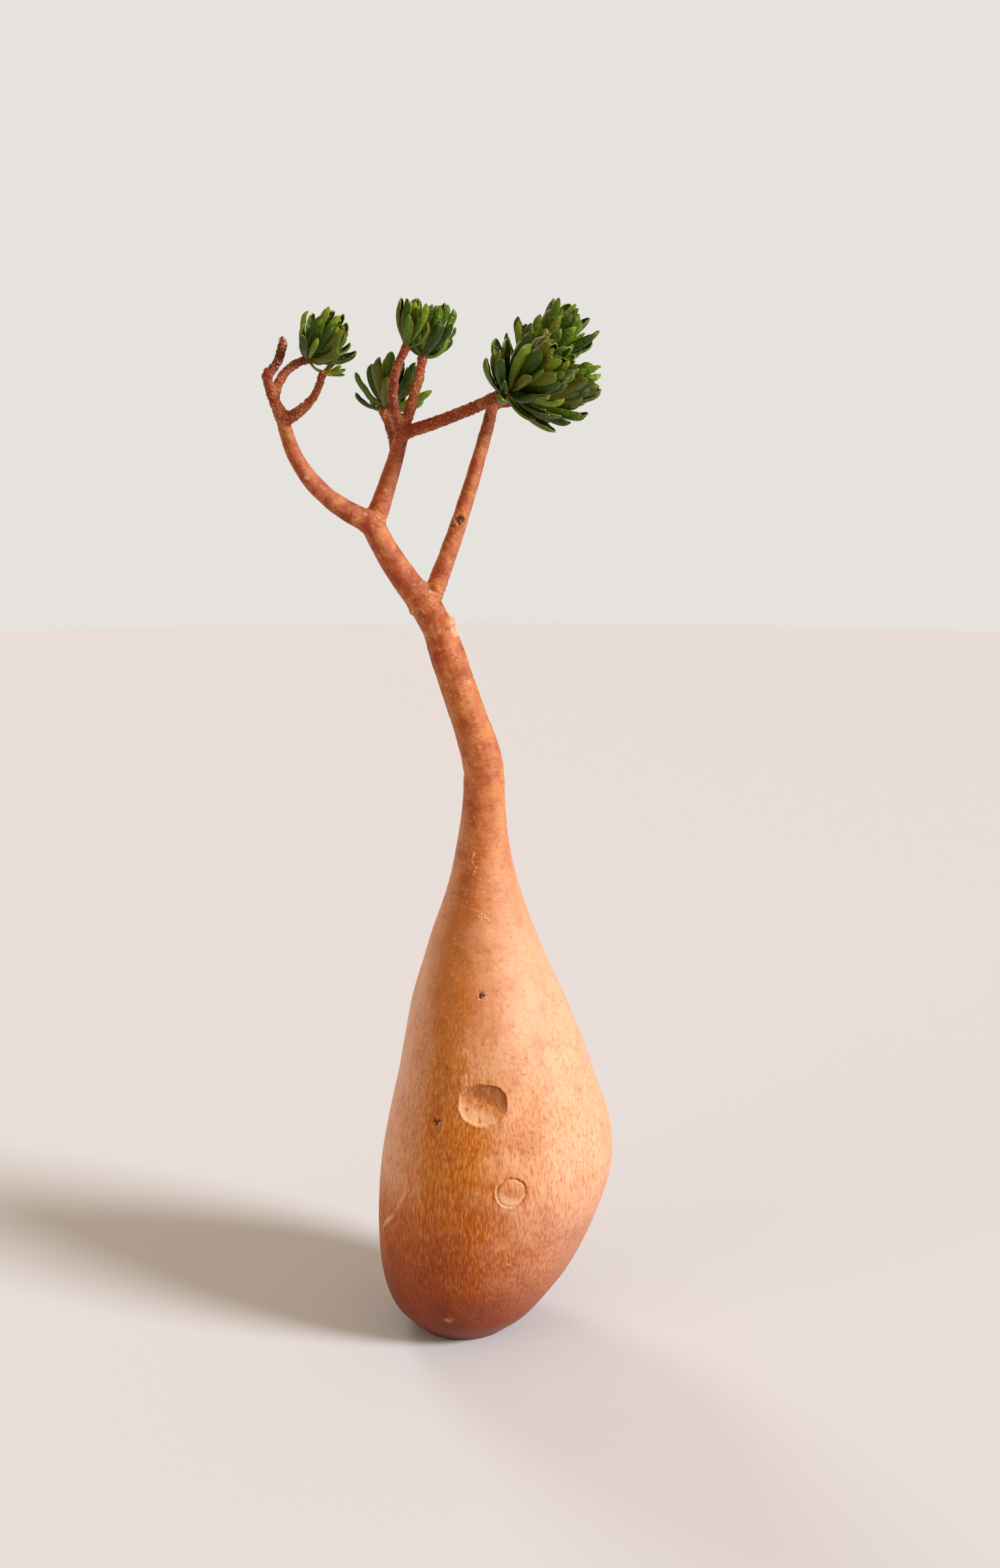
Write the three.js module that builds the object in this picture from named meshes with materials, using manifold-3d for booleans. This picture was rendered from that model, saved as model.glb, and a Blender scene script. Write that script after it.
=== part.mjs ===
// A young bottle tree of dry limestone country, about 2.1 m tall, in millimetres with +Z up.
// A swollen pear-shaped trunk narrows to a leaning neck and forks into thick limbs, and each living
// twig ends in a tuft of stout, channelled leaves.
// The origin is the middle of the flat cut under the trunk, at ground level. Looking along +Y shows
// the tree from the front, with +X to the right.
import * as THREE from "three";
import { mergeVertices } from "three/addons/utils/BufferGeometryUtils.js";
import Module from "manifold-3d";

const wasm = await Module();
wasm.setup();

// Clearance left between two pieces that meet.
const GAP = 0.35;
// Slivers thinner than this, left where leaves are fused, are smoothed away.
const SMALLEST = 0.9;
// Corners of one surface that are this close are the same corner.
const WELD = 1e-4;

// Trunk sections from the ground cut to the fork: height, offset to the right, offset to the back
// and radius.
const TRUNK_SECTIONS = [
  [0, 0, 0, 98],
  [60, 6, 3, 160],
  [190, 40, 8, 217],
  [380, 74, 10, 240],
  [545, 70, 8, 203],
  [705, 56, 5, 157],
  [850, 45, 2, 104],
  [985, 43, 0, 62],
  [1100, 45, 0, 44],
  [1200, 43, 0, 40.5],
  [1310, 9, 2, 36],
  [1415, -26, 6, 35],
  [1462, -42, 8, 32],
  [1515, -70, 10, 31],
];
const TRUNK_SIDES = 26;
const TRUNK_RINGS = 27;
// How evenly the trunk passes through its sections.
const TENSION = 0.5;
// Rings lie level below the first height and square to the leaning stem above the second.
const LEVEL_BELOW = 700;
const SQUARE_ABOVE = 1450;
// The healed stub of a lost limb on the upper trunk.
const STUB = { at: [-44, 0, 1474], reach: [45, -6, 9], foot: 54, tip: 32 };

const LIMB_SIDES = 10;
const RING_SPACING = 30;
const FEWEST_RINGS = 3;
// Power by which a limb thins from its foot to its tip.
const TAPER = 0.8;
// Limbs whose tips are thicker than this carry old bark.
const OLD_LIMB = 20;
// Each limb grows from a share of the way along its parent. Its tip lies at reach from its foot, its
// middle is pushed sideways by bow, and foot and tip are its diameters.
const LIMBS = [
  {
    name: "left_bough", on: "trunk", share: 1,
    reach: [-101, -10, 157], bow: [-5, 0, -5], foot: 60, tip: 46,
  },
  {
    name: "left_limb", on: "left_bough", share: 1,
    reach: [-159, -70, 200], bow: [-31, 0, -20], foot: 45, tip: 25,
  },
  {
    name: "middle_limb", on: "left_bough", share: 0.97,
    reach: [58, 45, 181], bow: [3, 0, 0], foot: 44, tip: 28,
  },
  {
    name: "right_bough", on: "trunk", share: 0.985,
    reach: [129, 79, 395], bow: [8, 0, 0], foot: 42, tip: 24,
  },
  {
    name: "cross_limb", on: "middle_limb", share: 0.97,
    reach: [187, -74, 69], bow: [0, 0, -5], foot: 26, tip: 23,
  },
  {
    name: "middle_left_twig", on: "middle_limb", share: 0.98,
    reach: [9, -36, 156], bow: [-21, 0, 0], foot: 23, tip: 17,
  },
  {
    name: "middle_right_twig", on: "middle_limb", share: 0.98,
    reach: [39, 28, 141], bow: [3, 0, 0], foot: 24, tip: 18,
  },
  {
    name: "back_twig", on: "middle_limb", share: 0.6,
    reach: [-23, 108, 110], bow: [12, 8, -8], foot: 24, tip: 19,
  },
  {
    name: "left_twig", on: "left_limb", share: 1,
    reach: [-25, -28, 79], bow: [-4, 0, 0], foot: 25, tip: 18,
  },
  {
    name: "left_bare_twig", on: "left_twig", share: 0.96,
    reach: [31, 7, 66], bow: [7, 0, -5], foot: 18, tip: 18,
  },
  {
    name: "left_leafy_twig", on: "left_twig", share: 0.42,
    reach: [58, 37, 73], bow: [-10, 0, 9], foot: 21, tip: 16,
  },
  {
    name: "left_low_twig", on: "left_limb", share: 0.98,
    reach: [79, -49, 79], bow: [11, 0, -10], foot: 25, tip: 14,
  },
];

// Full-grown leaf, measured along its curl, across its channel and through its fleshy middle. Petiole is
// the foot's share of the width, and widest the share of the length at which the leaf is broadest.
// Swelling sets where the foot starts to widen, blunt how round the tip is, cup how deep the channel is,
// and thins how its thickness changes from foot to tip. Young leaves are broad for their length.
const LEAF = {
  length: 116, width: 28, thick: 7, petiole: 0.34, widest: 0.66, swelling: -0.1,
  blunt: 4, cup: 0.6, thins: [1.1, 0.7], young: 1.1, leastCurl: 0.05,
};
const LEAF_SIDES = 4;
const LEAF_RINGS = 3;
// Balls by which leaves keep clear, strung between two shares of the length so that the crowded foot is
// free. Each lies a share of the way up the channel's rise, and is wider than its leaf by slack.
const LEAF_BALLS = { count: 7, from: 0.2, to: 0.96, rise: 0.4, slack: 1.5 };
const STEM_SLACK = 1;
// Share of their width by which two leaves of one tuft may run into each other.
const TUFT_PACKING = 0.42;

// Successive leaves stand a golden turn apart round their shoot.
const GOLDEN_TURN = 137.508;
// A leaf that meets something is turned by this step and tried again this many times.
const TURN_STEP = 31;
const TURN_TRIES = 9;
// Ways in which no two leaves are alike: turn and spread in degrees, then shares of length and curl.
const UNEVEN = { turn: 16, spread: 9, length: 0.13, curl: 0.3 };
// Leaves are shorter at the foot of a shoot and at its top: from and to are shares of the way up.
const FOOT_LEAVES = { from: -0.02, to: 0.1, length: 0.62 };
const TOP_LEAVES = { from: 0.45, to: 1.15, length: 0.5, curl: 0.45 };
// How strongly leaves turn up towards the light, against how they turn towards their shoot.
const LIFT = 0.5;
// A leaf is rooted this far from its shoot's middle.
const ROOT_DEPTH = 2;
// A shoot's width where it leaves its limb and where its leaves begin, as shares of the limb's tip, and
// the bud beyond its last leaf.
const SHOOT = { foot: 0.92, leafy: 0.85, balls: 6, sides: 6 };
const BUD = { length: 4, radius: 2.5 };

// Leafy masses. A shoot starts at its limb's tip, runs bare for stem, then carries count leaves along
// leafy millimetres in the direction aim. Turn is where round the shoot the lowest leaf stands, spread
// the angle of the lowest and of the topmost leaf from the shoot, and curl the bend of the lowest leaf
// back towards the shoot, all in degrees. Closing is the power by which the leaves close up along the
// shoot. Scale is the leaves' size against a full-grown leaf.
const MASSES = [
  {
    name: "right_front_leaves", on: "cross_limb", seed: 11,
    shoots: [{
      stem: [4, 0, 2], aim: [0.86, -0.36, 0.36], leafy: 92, count: 62,
      turn: 190, spread: [134, 18], closing: 0.56, curl: 62, scale: 0.95,
    }],
  },
  {
    name: "right_leaves", on: "right_bough", seed: 23,
    shoots: [
      {
        stem: [62, 4, 6], aim: [0.95, -0.04, 0.16], leafy: 86, count: 42,
        turn: 0, spread: [104, 18], closing: 0.56, curl: 58, scale: 0.95,
      },
      {
        stem: [66, 14, 56], aim: [0.68, 0.02, 0.72], leafy: 90, count: 44,
        turn: 60, spread: [110, 14], closing: 0.56, curl: 54, scale: 0.97,
      },
    ],
  },
  {
    name: "middle_left_leaves", on: "middle_left_twig", seed: 37,
    shoots: [{
      stem: [1, -1, 4], aim: [0.3, -0.3, 0.9], leafy: 26, count: 15,
      turn: 0, spread: [78, 12], closing: 0.8, curl: 95, scale: 0.74,
    }],
  },
  {
    name: "middle_right_leaves", on: "middle_right_twig", seed: 41,
    shoots: [{
      stem: [1, 0, 3], aim: [0.34, 0.1, 0.9], leafy: 34, count: 28,
      turn: 0, spread: [106, 12], closing: 0.8, curl: 95, scale: 0.82,
    }],
  },
  {
    name: "left_leaves", on: "left_leafy_twig", seed: 53,
    shoots: [{
      stem: [4, -1, 1], aim: [0.72, -0.3, 0.58], leafy: 34, count: 28,
      turn: 0, spread: [106, 12], closing: 0.8, curl: 86, scale: 0.83,
    }],
  },
  {
    name: "left_low_leaves", on: "left_low_twig", seed: 61,
    shoots: [{
      stem: [1, -1, 3], aim: [0.9, -0.25, 0.15], leafy: 16, count: 5,
      turn: 20, spread: [66, 14], closing: 0.8, curl: 24, scale: 0.36,
    }],
  },
  {
    name: "back_leaves", on: "back_twig", seed: 71,
    shoots: [{
      stem: [2, 3, 3], aim: [0.3, 0.3, 0.85], leafy: 34, count: 28,
      turn: 0, spread: [120, 14], closing: 0.8, curl: 74, scale: 0.86,
    }],
  },
];

const BARK = { swollen: 0xc98a5a, limb: 0xb0603a, twig: 0xa35b3c };
const LEAF_GREEN = 0x3f6b22;

const UP = new THREE.Vector3(0, 0, 1);
const BACK = new THREE.Vector3(0, 1, 0);
const { lerp, smoothstep, degToRad, clamp } = THREE.MathUtils;
const vector = (numbers) => new THREE.Vector3(...numbers);

// A seeded run of even random numbers between low and high.
function dice(seed) {
  const span = 2147483647;
  let state = seed;
  return (low, high) => {
    state = (state * 16807) % span;
    return low + (high - low) * (state / span);
  };
}

// A closed three.js geometry as a solid that can be cut and joined.
function solidOf(geometry) {
  const bare = geometry.clone();
  bare.deleteAttribute("normal");
  bare.deleteAttribute("uv");
  const merged = mergeVertices(bare, WELD);
  const mesh = new wasm.Mesh({
    numProp: 3,
    vertProperties: merged.attributes.position.array,
    triVerts: new Uint32Array(merged.index.array),
  });
  return new wasm.Manifold(mesh);
}

// The largest body of a solid, without scraps and with any sealed hollow filled.
function mainBody(solid) {
  return solid.decompose().reduce((a, b) => (b.volume() > a.volume() ? b : a));
}

function meshOf(name, solid, colour, roughness) {
  const { vertProperties, triVerts } = solid.getMesh();
  const geometry = new THREE.BufferGeometry();
  geometry.setAttribute("position", new THREE.BufferAttribute(vertProperties, 3));
  geometry.setIndex(new THREE.BufferAttribute(triVerts, 1));
  geometry.computeVertexNormals();
  const material = new THREE.MeshStandardMaterial({ color: colour, roughness, metalness: 0 });
  const mesh = new THREE.Mesh(geometry, material);
  mesh.name = name;
  return mesh;
}

// A round stem: a cylinder whose rings are laid along a path. At a share t of the way, place(t) gives
// the ring's middle, the direction that it faces and its radius.
function stemSolid(place, sides, rings, grow = 0) {
  const cylinder = new THREE.CylinderGeometry(1, 1, 1, sides, rings);
  const spots = cylinder.attributes.position;
  for (let i = 0; i < spots.count; i++) {
    const t = spots.getY(i) + 0.5;
    const { middle, facing, radius } = place(t);
    const back = BACK.clone().projectOnPlane(facing).normalize();
    const side = back.clone().cross(facing);
    const wide = radius + grow;
    const spot = middle.clone()
      .addScaledVector(facing, grow * (2 * t - 1) * (t === 0 || t === 1 ? 1 : 0))
      .addScaledVector(side, wide * spots.getX(i))
      .addScaledVector(back, -wide * spots.getZ(i));
    spots.setXYZ(i, spot.x, spot.y, spot.z);
  }
  return solidOf(cylinder);
}

// The trunk's place function: a smooth path through the section middles, with their radii.
function trunkPlace() {
  const middles = TRUNK_SECTIONS.map(([height, right, back]) => new THREE.Vector3(right, back, height));
  const path = new THREE.CatmullRomCurve3(middles, false, "catmullrom", TENSION);
  const widths = TRUNK_SECTIONS.map(([height, , , radius]) => new THREE.Vector3(radius, height, 0));
  const radii = new THREE.CatmullRomCurve3(widths, false, "catmullrom", TENSION);
  return (t) => {
    const middle = path.getPoint(t);
    const lean = smoothstep(middle.z, LEVEL_BELOW, SQUARE_ABOVE);
    const facing = UP.clone().lerp(path.getTangent(t), lean).normalize();
    return { middle, facing, radius: radii.getPoint(t).x };
  };
}

// A limb's place function: one bowed curve from foot to foot + reach, tapering from foot to tip.
function limbPlace(start, { reach, bow, foot, tip }) {
  const end = start.clone().add(vector(reach));
  const control = start.clone().lerp(end, 0.5).addScaledVector(vector(bow), 2);
  const path = new THREE.QuadraticBezierCurve3(start, control, end);
  return (t) => ({
    middle: path.getPoint(t),
    facing: path.getTangent(t),
    radius: lerp(foot, tip, Math.pow(t, TAPER)) / 2,
  });
}

// A leafy shoot's place function: straight, ending in a small bud.
function shootPlace(start, end, foot, tip) {
  const facing = end.clone().sub(start).normalize();
  return (t) => ({ middle: start.clone().lerp(end, t), facing, radius: lerp(foot, tip, t) });
}

// Balls strung along a stem, by which leaves keep clear of it.
function stemBalls(place, owner, count) {
  return Array.from({ length: count }, (_, i) => {
    const { middle, radius } = place(i / (count - 1));
    return { owner, middle, radius: radius + STEM_SLACK, stem: true };
  });
}

// One leaf: it leaves the shoot along out and bends steadily towards inward, with its channel on the
// inner side. All of its shape follows from these and its length and curl.
function leafForm({ root, out, inward, length, curl }) {
  const across = inward.clone().cross(out);
  const halfWidth = (LEAF.width / 2) * Math.min(1, (length / LEAF.length) * LEAF.young);
  const bend = Math.max(curl, LEAF.leastCurl);
  const radius = length / bend;
  const midline = (s) => {
    const turn = bend * s;
    return {
      spot: root.clone()
        .addScaledVector(out, radius * Math.sin(turn))
        .addScaledVector(inward, radius * (1 - Math.cos(turn))),
      normal: out.clone().multiplyScalar(-Math.sin(turn)).addScaledVector(inward, Math.cos(turn)),
    };
  };
  const outline = (s) => {
    if (s > LEAF.widest) {
      const past = (s - LEAF.widest) / (1 - LEAF.widest);
      return halfWidth * Math.sqrt(1 - Math.pow(Math.min(past, 1), LEAF.blunt));
    }
    return halfWidth * lerp(LEAF.petiole, 1, smoothstep(s, LEAF.swelling, LEAF.widest));
  };
  return { across, midline, outline };
}

// A leaf's solid: a cone whose rings are flattened into a channelled blade and laid along the midline,
// closer together towards the blunt tip.
function leafSolid(leaf) {
  const { across, midline, outline } = leafForm(leaf);
  const cone = new THREE.ConeGeometry(1, 1, LEAF_SIDES, LEAF_RINGS);
  const spots = cone.attributes.position;
  for (let i = 0; i < spots.count; i++) {
    const t = spots.getY(i) + 0.5;
    const s = Math.sin((t * Math.PI) / 2);
    const shrink = Math.max(1 - t, 1e-6);
    // The cone's corner direction: side runs from margin to margin, face from keel to channel.
    const side = clamp(spots.getZ(i) / shrink, -1, 1);
    const face = clamp(spots.getX(i) / shrink, -1, 1);
    const wide = t === 1 ? 0 : outline(s);
    const thick = (LEAF.thick / 2) * (t === 1 ? 0 : lerp(...LEAF.thins, s));
    const { spot, normal } = midline(s);
    spot.addScaledVector(across, wide * side);
    spot.addScaledVector(normal, LEAF.cup * wide * side * side + thick * face);
    spots.setXYZ(i, spot.x, spot.y, spot.z);
  }
  return solidOf(cone);
}

function leafBalls(leaf, owner) {
  const { midline, outline } = leafForm(leaf);
  const { count, from, to, rise, slack } = LEAF_BALLS;
  return Array.from({ length: count }, (_, i) => {
    const s = lerp(from, to, i / (count - 1));
    const { spot, normal } = midline(s);
    const wide = outline(s);
    return { owner, middle: spot.addScaledVector(normal, LEAF.cup * wide * rise), radius: wide + slack };
  });
}

// True if a leaf's balls keep clear of every limb and other mass, and run only a little into leaves of
// their own mass. A leaf is rooted in its own stem, so that isn't counted.
function isClear(balls, taken) {
  return balls.every((ball) =>
    taken.every((other) => {
      const own = other.owner === ball.owner;
      const packing = own ? (other.stem ? 0 : TUFT_PACKING) : 1;
      return ball.middle.distanceTo(other.middle) >= (ball.radius + other.radius) * packing;
    }));
}

// The leaves of one shoot, from the lowest to the topmost, each placed where it is clear.
function growLeaves(shoot, start, owner, roll, taken) {
  const aim = vector(shoot.aim).normalize();
  const east = BACK.clone().cross(aim).normalize();
  const north = aim.clone().cross(east);
  const leaves = [];
  for (let i = 0; i < shoot.count; i++) {
    const t = (i + 0.5) / shoot.count;
    const uneven = {
      turn: roll(-UNEVEN.turn, UNEVEN.turn),
      spread: roll(-UNEVEN.spread, UNEVEN.spread),
      length: roll(1 - UNEVEN.length, 1 + UNEVEN.length),
      curl: roll(1 - UNEVEN.curl, 1 + UNEVEN.curl),
    };
    const foot = lerp(FOOT_LEAVES.length, 1, smoothstep(t, FOOT_LEAVES.from, FOOT_LEAVES.to));
    const top = lerp(1, TOP_LEAVES.length, smoothstep(t, TOP_LEAVES.from, TOP_LEAVES.to));
    const length = LEAF.length * shoot.scale * foot * top * uneven.length;
    const spread = degToRad(lerp(...shoot.spread, Math.pow(t, shoot.closing)) + uneven.spread);
    const curl = degToRad(shoot.curl * lerp(1, TOP_LEAVES.curl, t) * uneven.curl);
    for (let attempt = 0; attempt < TURN_TRIES; attempt++) {
      const step = (attempt % 2 ? 1 : -1) * Math.ceil(attempt / 2) * TURN_STEP;
      const turn = degToRad(shoot.turn + i * GOLDEN_TURN + uneven.turn + step);
      const radial = east.clone().multiplyScalar(Math.cos(turn)).addScaledVector(north, Math.sin(turn));
      const out = radial.clone().multiplyScalar(Math.sin(spread)).addScaledVector(aim, Math.cos(spread));
      const inward = aim.clone().multiplyScalar(Math.sin(spread))
        .addScaledVector(radial, -Math.cos(spread))
        .addScaledVector(UP, LIFT)
        .projectOnPlane(out)
        .normalize();
      const root = start.clone().addScaledVector(aim, shoot.leafy * t).addScaledVector(radial, ROOT_DEPTH);
      const leaf = { root, out, inward, length, curl };
      const balls = leafBalls(leaf, owner);
      if (!isClear(balls, taken)) continue;
      taken.push(...balls);
      leaves.push(leaf);
      break;
    }
  }
  return leaves;
}

const tree = new THREE.Group();
tree.name = "bottle_tree";
const places = {};
const grown = [];
const taken = [];

// A limb, or the trunk with its stub, cut clear of the stems that were there before it.
function addStem(name, place, sides, rings, colour, stub) {
  const shape = (grow) => {
    const stem = stemSolid(place, sides, rings, grow);
    return stub ? stem.add(stemSolid(stub, LIMB_SIDES, 2, grow)) : stem;
  };
  let solid = shape(0);
  for (const other of grown) solid = solid.subtract(other);
  places[name] = place;
  grown.push(shape(GAP));
  taken.push(...stemBalls(place, name, rings * 2));
  tree.add(meshOf(name, mainBody(solid), colour, 0.75));
}

// The bare stems and leafy shoots of a mass, as solids and as the places where its leaves stand.
function planMass({ name, on, shoots }) {
  const base = places[on](1);
  const from = base.middle.clone().addScaledVector(base.facing, GAP);
  return shoots.map((shoot) => {
    const start = from.clone().add(vector(shoot.stem));
    const end = start.clone().addScaledVector(vector(shoot.aim).normalize(), shoot.leafy + BUD.length);
    const leafyRadius = base.radius * SHOOT.leafy;
    const stem = shootPlace(from, start, base.radius * SHOOT.foot, leafyRadius);
    const leafy = shootPlace(start, end, leafyRadius, BUD.radius);
    taken.push(...stemBalls(stem, name, SHOOT.balls), ...stemBalls(leafy, name, SHOOT.balls));
    return { shoot, start, solids: [stemSolid(stem, LIMB_SIDES, 1), stemSolid(leafy, SHOOT.sides, 1)] };
  });
}

function addMass({ name, seed }, plan) {
  const roll = dice(seed);
  const parts = plan.flatMap(({ shoot, start, solids }) => [
    ...solids,
    ...growLeaves(shoot, start, name, roll, taken).map(leafSolid),
  ]);
  let solid = wasm.Manifold.union(parts).simplify(SMALLEST);
  for (const other of grown) solid = solid.subtract(other);
  tree.add(meshOf(name, mainBody(solid), LEAF_GREEN, 0.5));
}

const stub = limbPlace(vector(STUB.at), { ...STUB, bow: [0, 0, 0] });
addStem("trunk", trunkPlace(), TRUNK_SIDES, TRUNK_RINGS, BARK.swollen, stub);
for (const limb of LIMBS) {
  const start = places[limb.on](limb.share).middle;
  const rings = Math.max(FEWEST_RINGS, Math.round(vector(limb.reach).length() / RING_SPACING));
  const colour = limb.tip > OLD_LIMB ? BARK.limb : BARK.twig;
  addStem(limb.name, limbPlace(start, limb), LIMB_SIDES, rings, colour);
}
const plans = MASSES.map(planMass);
MASSES.forEach((mass, i) => addMass(mass, plans[i]));

export default tree;
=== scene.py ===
import math

import bpy
import numpy as np
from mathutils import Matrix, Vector, kdtree, noise


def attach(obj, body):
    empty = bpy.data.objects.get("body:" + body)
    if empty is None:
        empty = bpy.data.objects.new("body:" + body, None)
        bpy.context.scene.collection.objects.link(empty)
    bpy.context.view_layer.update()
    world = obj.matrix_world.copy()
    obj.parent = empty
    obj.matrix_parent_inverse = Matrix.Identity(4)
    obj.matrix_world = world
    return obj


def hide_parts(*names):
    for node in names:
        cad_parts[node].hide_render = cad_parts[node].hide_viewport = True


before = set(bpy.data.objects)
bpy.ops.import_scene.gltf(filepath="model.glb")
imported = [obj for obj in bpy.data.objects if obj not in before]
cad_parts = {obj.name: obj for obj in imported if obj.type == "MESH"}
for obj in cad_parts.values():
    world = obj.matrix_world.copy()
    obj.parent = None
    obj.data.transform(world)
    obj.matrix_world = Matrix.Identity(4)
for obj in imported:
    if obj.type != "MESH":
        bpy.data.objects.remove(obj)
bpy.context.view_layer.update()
# Without a seed, the wobble of the twigs' knobs would differ from run to run.
noise.seed_set(1)

# The tree's own sizes, in millimetres. Its trunk, limbs and leaves grow by the rule of its solids.
MM = 0.001
# Trunk sections from the ground cut to the fork: height, offset right and back, and radius.
TRUNK_SECTIONS = [
    (0, 0, 0, 98), (60, 6, 3, 160), (190, 40, 8, 217), (380, 74, 10, 240), (545, 70, 8, 203),
    (705, 56, 5, 157), (850, 45, 2, 104), (985, 43, 0, 62), (1100, 45, 0, 44), (1200, 43, 0, 40.5),
    (1310, 9, 2, 36), (1415, -26, 6, 35), (1462, -42, 8, 32), (1515, -70, 10, 31),
]
TRUNK_RINGS = 27
STUB = {"at": (-44, 0, 1474), "reach": (45, -6, 9), "foot": 54, "tip": 32}
# Name, what it grows on and how far along, its reach, its bow, and its width at the foot and the tip.
LIMBS = [
    ("left_bough", "trunk", 1, (-101, -10, 157), (-5, 0, -5), 60, 46),
    ("left_limb", "left_bough", 1, (-159, -70, 200), (-31, 0, -20), 45, 25),
    ("middle_limb", "left_bough", 0.97, (58, 45, 181), (3, 0, 0), 44, 28),
    ("right_bough", "trunk", 0.985, (129, 79, 395), (8, 0, 0), 42, 24),
    ("cross_limb", "middle_limb", 0.97, (187, -74, 69), (0, 0, -5), 26, 23),
    ("middle_left_twig", "middle_limb", 0.98, (9, -36, 156), (-21, 0, 0), 23, 17),
    ("middle_right_twig", "middle_limb", 0.98, (39, 28, 141), (3, 0, 0), 24, 18),
    ("back_twig", "middle_limb", 0.6, (-23, 108, 110), (12, 8, -8), 24, 19),
    ("left_twig", "left_limb", 1, (-25, -28, 79), (-4, 0, 0), 25, 18),
    ("left_bare_twig", "left_twig", 0.96, (31, 7, 66), (7, 0, -5), 18, 18),
    ("left_leafy_twig", "left_twig", 0.42, (58, 37, 73), (-10, 0, 9), 21, 16),
    ("left_low_twig", "left_limb", 0.98, (79, -49, 79), (11, 0, -10), 25, 14),
]
RING_SPACING = 30
FEWEST_RINGS = 3
# Power by which a limb thins from its foot to its tip.
TAPER = 0.8
# Clearance left between two pieces that meet.
GAP = 0.35

# A full-grown leaf: its length along its curl, its width, its foot's share of that, where it is widest
# and where it starts to widen, how round its tip is, how deep its channel, how broad it is when young.
LEAF = {"length": 116, "width": 28, "petiole": 0.34, "widest": 0.66, "swelling": -0.1, "blunt": 4.0,
        "cup": 0.6, "young": 1.1, "least_curl": 0.05}
# Balls by which leaves and stems keep clear of each other.
LEAF_BALLS = {"count": 7, "from": 0.2, "to": 0.96, "rise": 0.4, "slack": 1.5}
STEM_SLACK = 1
GOLDEN_TURN = 137.508
# A leaf that meets something is turned by this step and tried again this many times.
TURN_STEP = 31
TURN_TRIES = 9
UNEVEN = {"turn": 16, "spread": 9, "length": 0.13, "curl": 0.3}
# Leaves are shorter at the foot of a shoot and at its top, and turn up towards the light.
FOOT_LEAVES = {"from": -0.02, "to": 0.1, "length": 0.62}
TOP_LEAVES = {"from": 0.45, "to": 1.15, "length": 0.5, "curl": 0.45}
LIFT = 0.5
ROOT_DEPTH = 2
# A shoot's width where it starts and where its leaves begin, as shares of its limb's tip, and its bud.
SHOOT = {"foot": 0.92, "leafy": 0.85, "balls": 6}
BUD = {"length": 4, "radius": 2.5}
# Name, limb that it grows on, seed, then its shoots: bare stem, aim, leafy length, leaf count, turn,
# spread of the lowest and topmost leaf, the power by which they close up, curl and scale.
MASSES = [
    ("right_front_leaves", "cross_limb", 11, [
        ((4, 0, 2), (0.86, -0.36, 0.36), 92, 62, 190, (134, 18), 0.56, 62, 0.95),
    ]),
    ("right_leaves", "right_bough", 23, [
        ((62, 4, 6), (0.95, -0.04, 0.16), 86, 42, 0, (104, 18), 0.56, 58, 0.95),
        ((66, 14, 56), (0.68, 0.02, 0.72), 90, 44, 60, (110, 14), 0.56, 54, 0.97),
    ]),
    ("middle_left_leaves", "middle_left_twig", 37, [
        ((1, -1, 4), (0.3, -0.3, 0.9), 26, 15, 0, (78, 12), 0.8, 95, 0.74),
    ]),
    ("middle_right_leaves", "middle_right_twig", 41, [
        ((1, 0, 3), (0.34, 0.1, 0.9), 34, 28, 0, (106, 12), 0.8, 95, 0.82),
    ]),
    ("left_leaves", "left_leafy_twig", 53, [
        ((4, -1, 1), (0.72, -0.3, 0.58), 34, 28, 0, (106, 12), 0.8, 86, 0.83),
    ]),
    ("left_low_leaves", "left_low_twig", 61, [
        ((1, -1, 3), (0.9, -0.25, 0.15), 16, 5, 20, (66, 14), 0.8, 24, 0.36),
    ]),
    ("back_leaves", "back_twig", 71, [
        ((2, 3, 3), (0.3, 0.3, 0.85), 34, 28, 0, (120, 14), 0.8, 74, 0.86),
    ]),
]

# Leaves grow on each shoot twice, by one rule: those of the tree's solids, then finer ones between them.
# Count and scale are against the shoot's own, and packing is how closely leaves may run into each other.
GROWTHS = [
    {"count": 1, "scale": 1, "packing": 0.42, "turn": 0, "seed": 1},
    {"count": 0.8, "scale": 0.84, "packing": 0.28, "turn": 68, "seed": 7},
]
# Then each leaf keeps at least this much of its curl, and curls in more if it hangs down.
LOOSENING = {"least": 0.65, "hanging": 0.5, "seed": 5}

UP = np.array((0.0, 0.0, 1.0))
BACK = np.array((0.0, 1.0, 0.0))


def lerp(a, b, t):
    return a + (b - a) * t


def smoothstep(x, low, high):
    t = min(max((x - low) / (high - low), 0), 1)
    return t * t * (3 - 2 * t)


def ridge(x, middle, half):
    """1 at the middle, falling away on both sides to a third at half."""
    return math.exp(-(((x - middle) / half) ** 2))


def ripple(x, y, z):
    """A smooth random height at a place, from about -1 to 1."""
    return noise.noise(Vector((x, y, z)))


def unit(v):
    return v / np.linalg.norm(v)


def dice(seed):
    """A seeded run of even random numbers between low and high."""
    span = 2147483647
    state = seed

    def roll(low, high):
        nonlocal state
        state = state * 16807 % span
        return low + (high - low) * (state / span)

    return roll


# Paths of the trunk, limbs and shoots


def smooth_path(points, t):
    """A point at a share t of the way along an even Catmull-Rom curve through the points."""
    last = len(points) - 1
    step = min(int(last * t), last - 1)
    u = last * t - step
    before = points[step - 1] if step > 0 else 2 * points[0] - points[1]
    after = points[step + 2] if step + 2 <= last else 2 * points[last] - points[last - 1]
    a, b = points[step], points[step + 1]
    start, end = (b - before) / 2, (after - a) / 2
    return a + start * u + (3 * (b - a) - 2 * start - end) * u**2 + (2 * (a - b) + start + end) * u**3


def facing_of(path, t):
    """The direction of a path at t."""
    step = 1e-4
    return unit(path(min(t + step, 1)) - path(max(t - step, 0)))


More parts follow.
